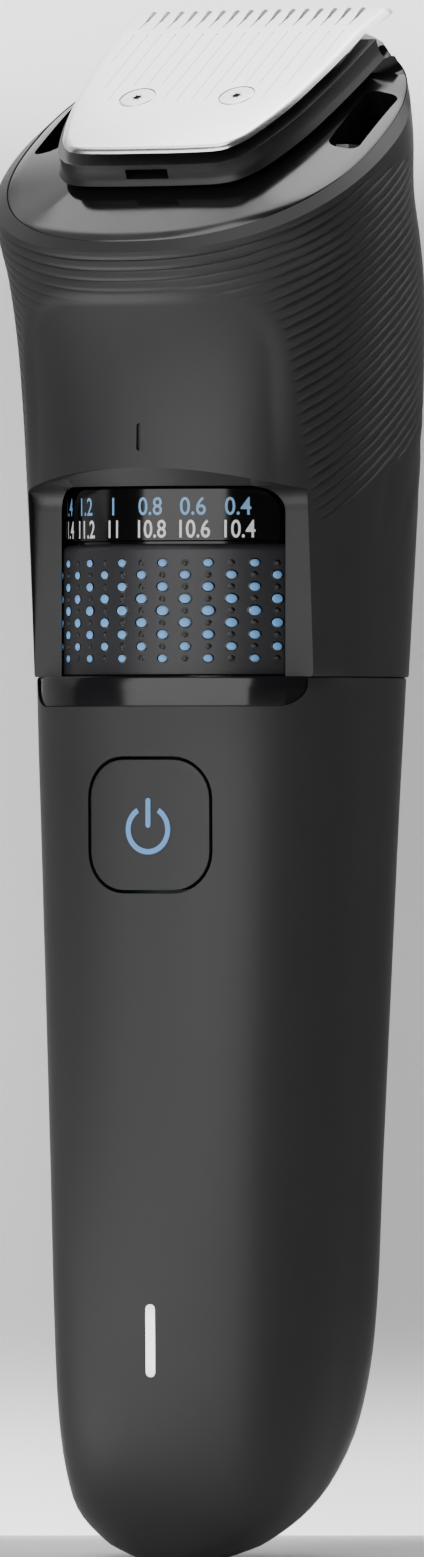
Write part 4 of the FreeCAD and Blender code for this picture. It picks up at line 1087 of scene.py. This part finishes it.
def backdrop_painted_halo():
    """Grey close round the object as painted shade, a halo where the wall glows far less; white above and
    below it, dim out at the sides, and a bright card high up.
    From behind it isn't there, so that the back of the object can be seen."""
    finish, tree, shader, place = start_finish("backdrop_painted_halo")
    turned = add(tree, "ShaderNodeMapping", {"Rotation": (0, 0, -VIEW)}, {"Vector": place})
    parts = add(tree, "ShaderNodeSeparateXYZ", links={"Vector": turned.outputs["Vector"]}).outputs
    side = add(tree, "ShaderNodeMath", {"operation": "ABSOLUTE"}, {0: parts["X"]}).outputs[0]
    # Painted shade: the wall glows far less at the object's height than above and below it, which paints the
    # grey halo round the object.
    above = ramp(tree, parts["Z"], 0.135, 0.18, 0.0, 1.0)
    below = ramp(tree, parts["Z"], 0.03, -0.005, 0.0, 1.0)
    outside_painted_halo = add(tree, "ShaderNodeMath", {"operation": "MAXIMUM"}, {0: above, 1: below}).outputs[0]
    glow = ramp(tree, outside_painted_halo, 0, 1, 0.1, 1.8)
    dim = ramp(tree, side, 0.03, 0.055, 1.0, 0.15)
    high = ramp(tree, parts["Z"], 0.262, 0.276, 0.0, 2.3)
    middle = ramp(tree, parts["Z"], 0.195, 0.225, 0.0, 0.7)
    both = add(tree, "ShaderNodeMath", {"operation": "ADD"}, {0: high, 1: middle}).outputs[0]
    left = ramp(tree, parts["X"], -0.115, -0.105, 0.0, 1.0)
    card = add(tree, "ShaderNodeMath", {"operation": "MULTIPLY"}, {0: both, 1: left}).outputs[0]
    strength = add(tree, "ShaderNodeMath", {"operation": "MULTIPLY"}, {0: glow, 1: dim}).outputs[0]
    strength = add(tree, "ShaderNodeMath", {"operation": "ADD"}, {0: strength, 1: card}).outputs[0]
    set_shader(shader, Roughness=1.0, Emission_Color=colour("#ffffff"))
    tree.links.new(blend_colours(tree, "#787878", "#efefef", dim), shader.inputs["Base Color"])
    tree.links.new(strength, shader.inputs["Emission Strength"])
    clear = add(tree, "ShaderNodeBsdfTransparent").outputs[0]
    back = add(tree, "ShaderNodeNewGeometry").outputs["Backfacing"]
    mix = add(tree, "ShaderNodeMixShader", links={0: back, 1: shader.outputs[0], 2: clear})
    tree.links.new(mix.outputs[0], tree.nodes["Material Output"].inputs["Surface"])
    return finish


paper = plain("studio_paper", "#f4f4f4")
backdrop = backdrop_painted_halo()
RIGHT = Vector((math.cos(VIEW), math.sin(VIEW), 0))
INTO = Vector((-math.sin(VIEW), math.cos(VIEW), 0))
UP = Vector((0, 0, 1))
CENTRE = Vector((0, AXIS_Y / 1000, 0))


def studio_point(right, into, up):
    return CENTRE + RIGHT * right + INTO * into + UP * up


def lamp(name, right, into, up, width, height, power, aim=(0, 0, 0.09)):
    data = bpy.data.lights.new(name, "AREA")
    data.shape = "RECTANGLE"
    data.size, data.size_y, data.energy = width, height, power
    light = bpy.data.objects.new(name, data)
    bpy.context.scene.collection.objects.link(light)
    light.location = studio_point(right, into, up)
    light.rotation_euler = (studio_point(*aim) - light.location).to_track_quat("-Z", "Y").to_euler()
    return light


floor = panel("floor", [(-6, -6, 0), (6, -6, 0), (6, 6, 0), (-6, 6, 0)], paper)
WALL_BACK = 0.055
corners = [studio_point(-1.2, WALL_BACK, -0.05), studio_point(1.2, WALL_BACK, -0.05),
           studio_point(1.2, WALL_BACK, 0.9), studio_point(-1.2, WALL_BACK, 0.9)]
wall = panel("wall", corners, backdrop)
lamp("key", -0.4, -0.72, 0.26, 1.0, 0.85, 7.4, aim=(0, 0, 0.12))
lamp("deck_panel", -0.3, -0.13, 0.9, 0.44, 0.3, 1.6, aim=(0, 0, 0.15))
lamp("low_card", -0.12, -0.035, 0.004, 0.12, 0.1, 0.14, aim=(-0.12, -0.035, 0.5))
world = bpy.data.worlds.new("studio")
bpy.context.scene.world = world
world.use_nodes = True
world.node_tree.nodes["Background"].inputs["Color"].default_value = (1, 1, 1, 1)
world.node_tree.nodes["Background"].inputs["Strength"].default_value = 0.05

camera_data = bpy.data.cameras.new("camera")
camera_data.sensor_width = 36.0
camera_data.lens = 409.0
camera_data.clip_end = 20
camera = bpy.data.objects.new("camera", camera_data)
bpy.context.scene.collection.objects.link(camera)
camera.location = studio_point(-0.00122, -1.96, 0.0862)
camera.rotation_euler = INTO.to_track_quat("-Z", "Y").to_euler()
bpy.context.scene.camera = camera
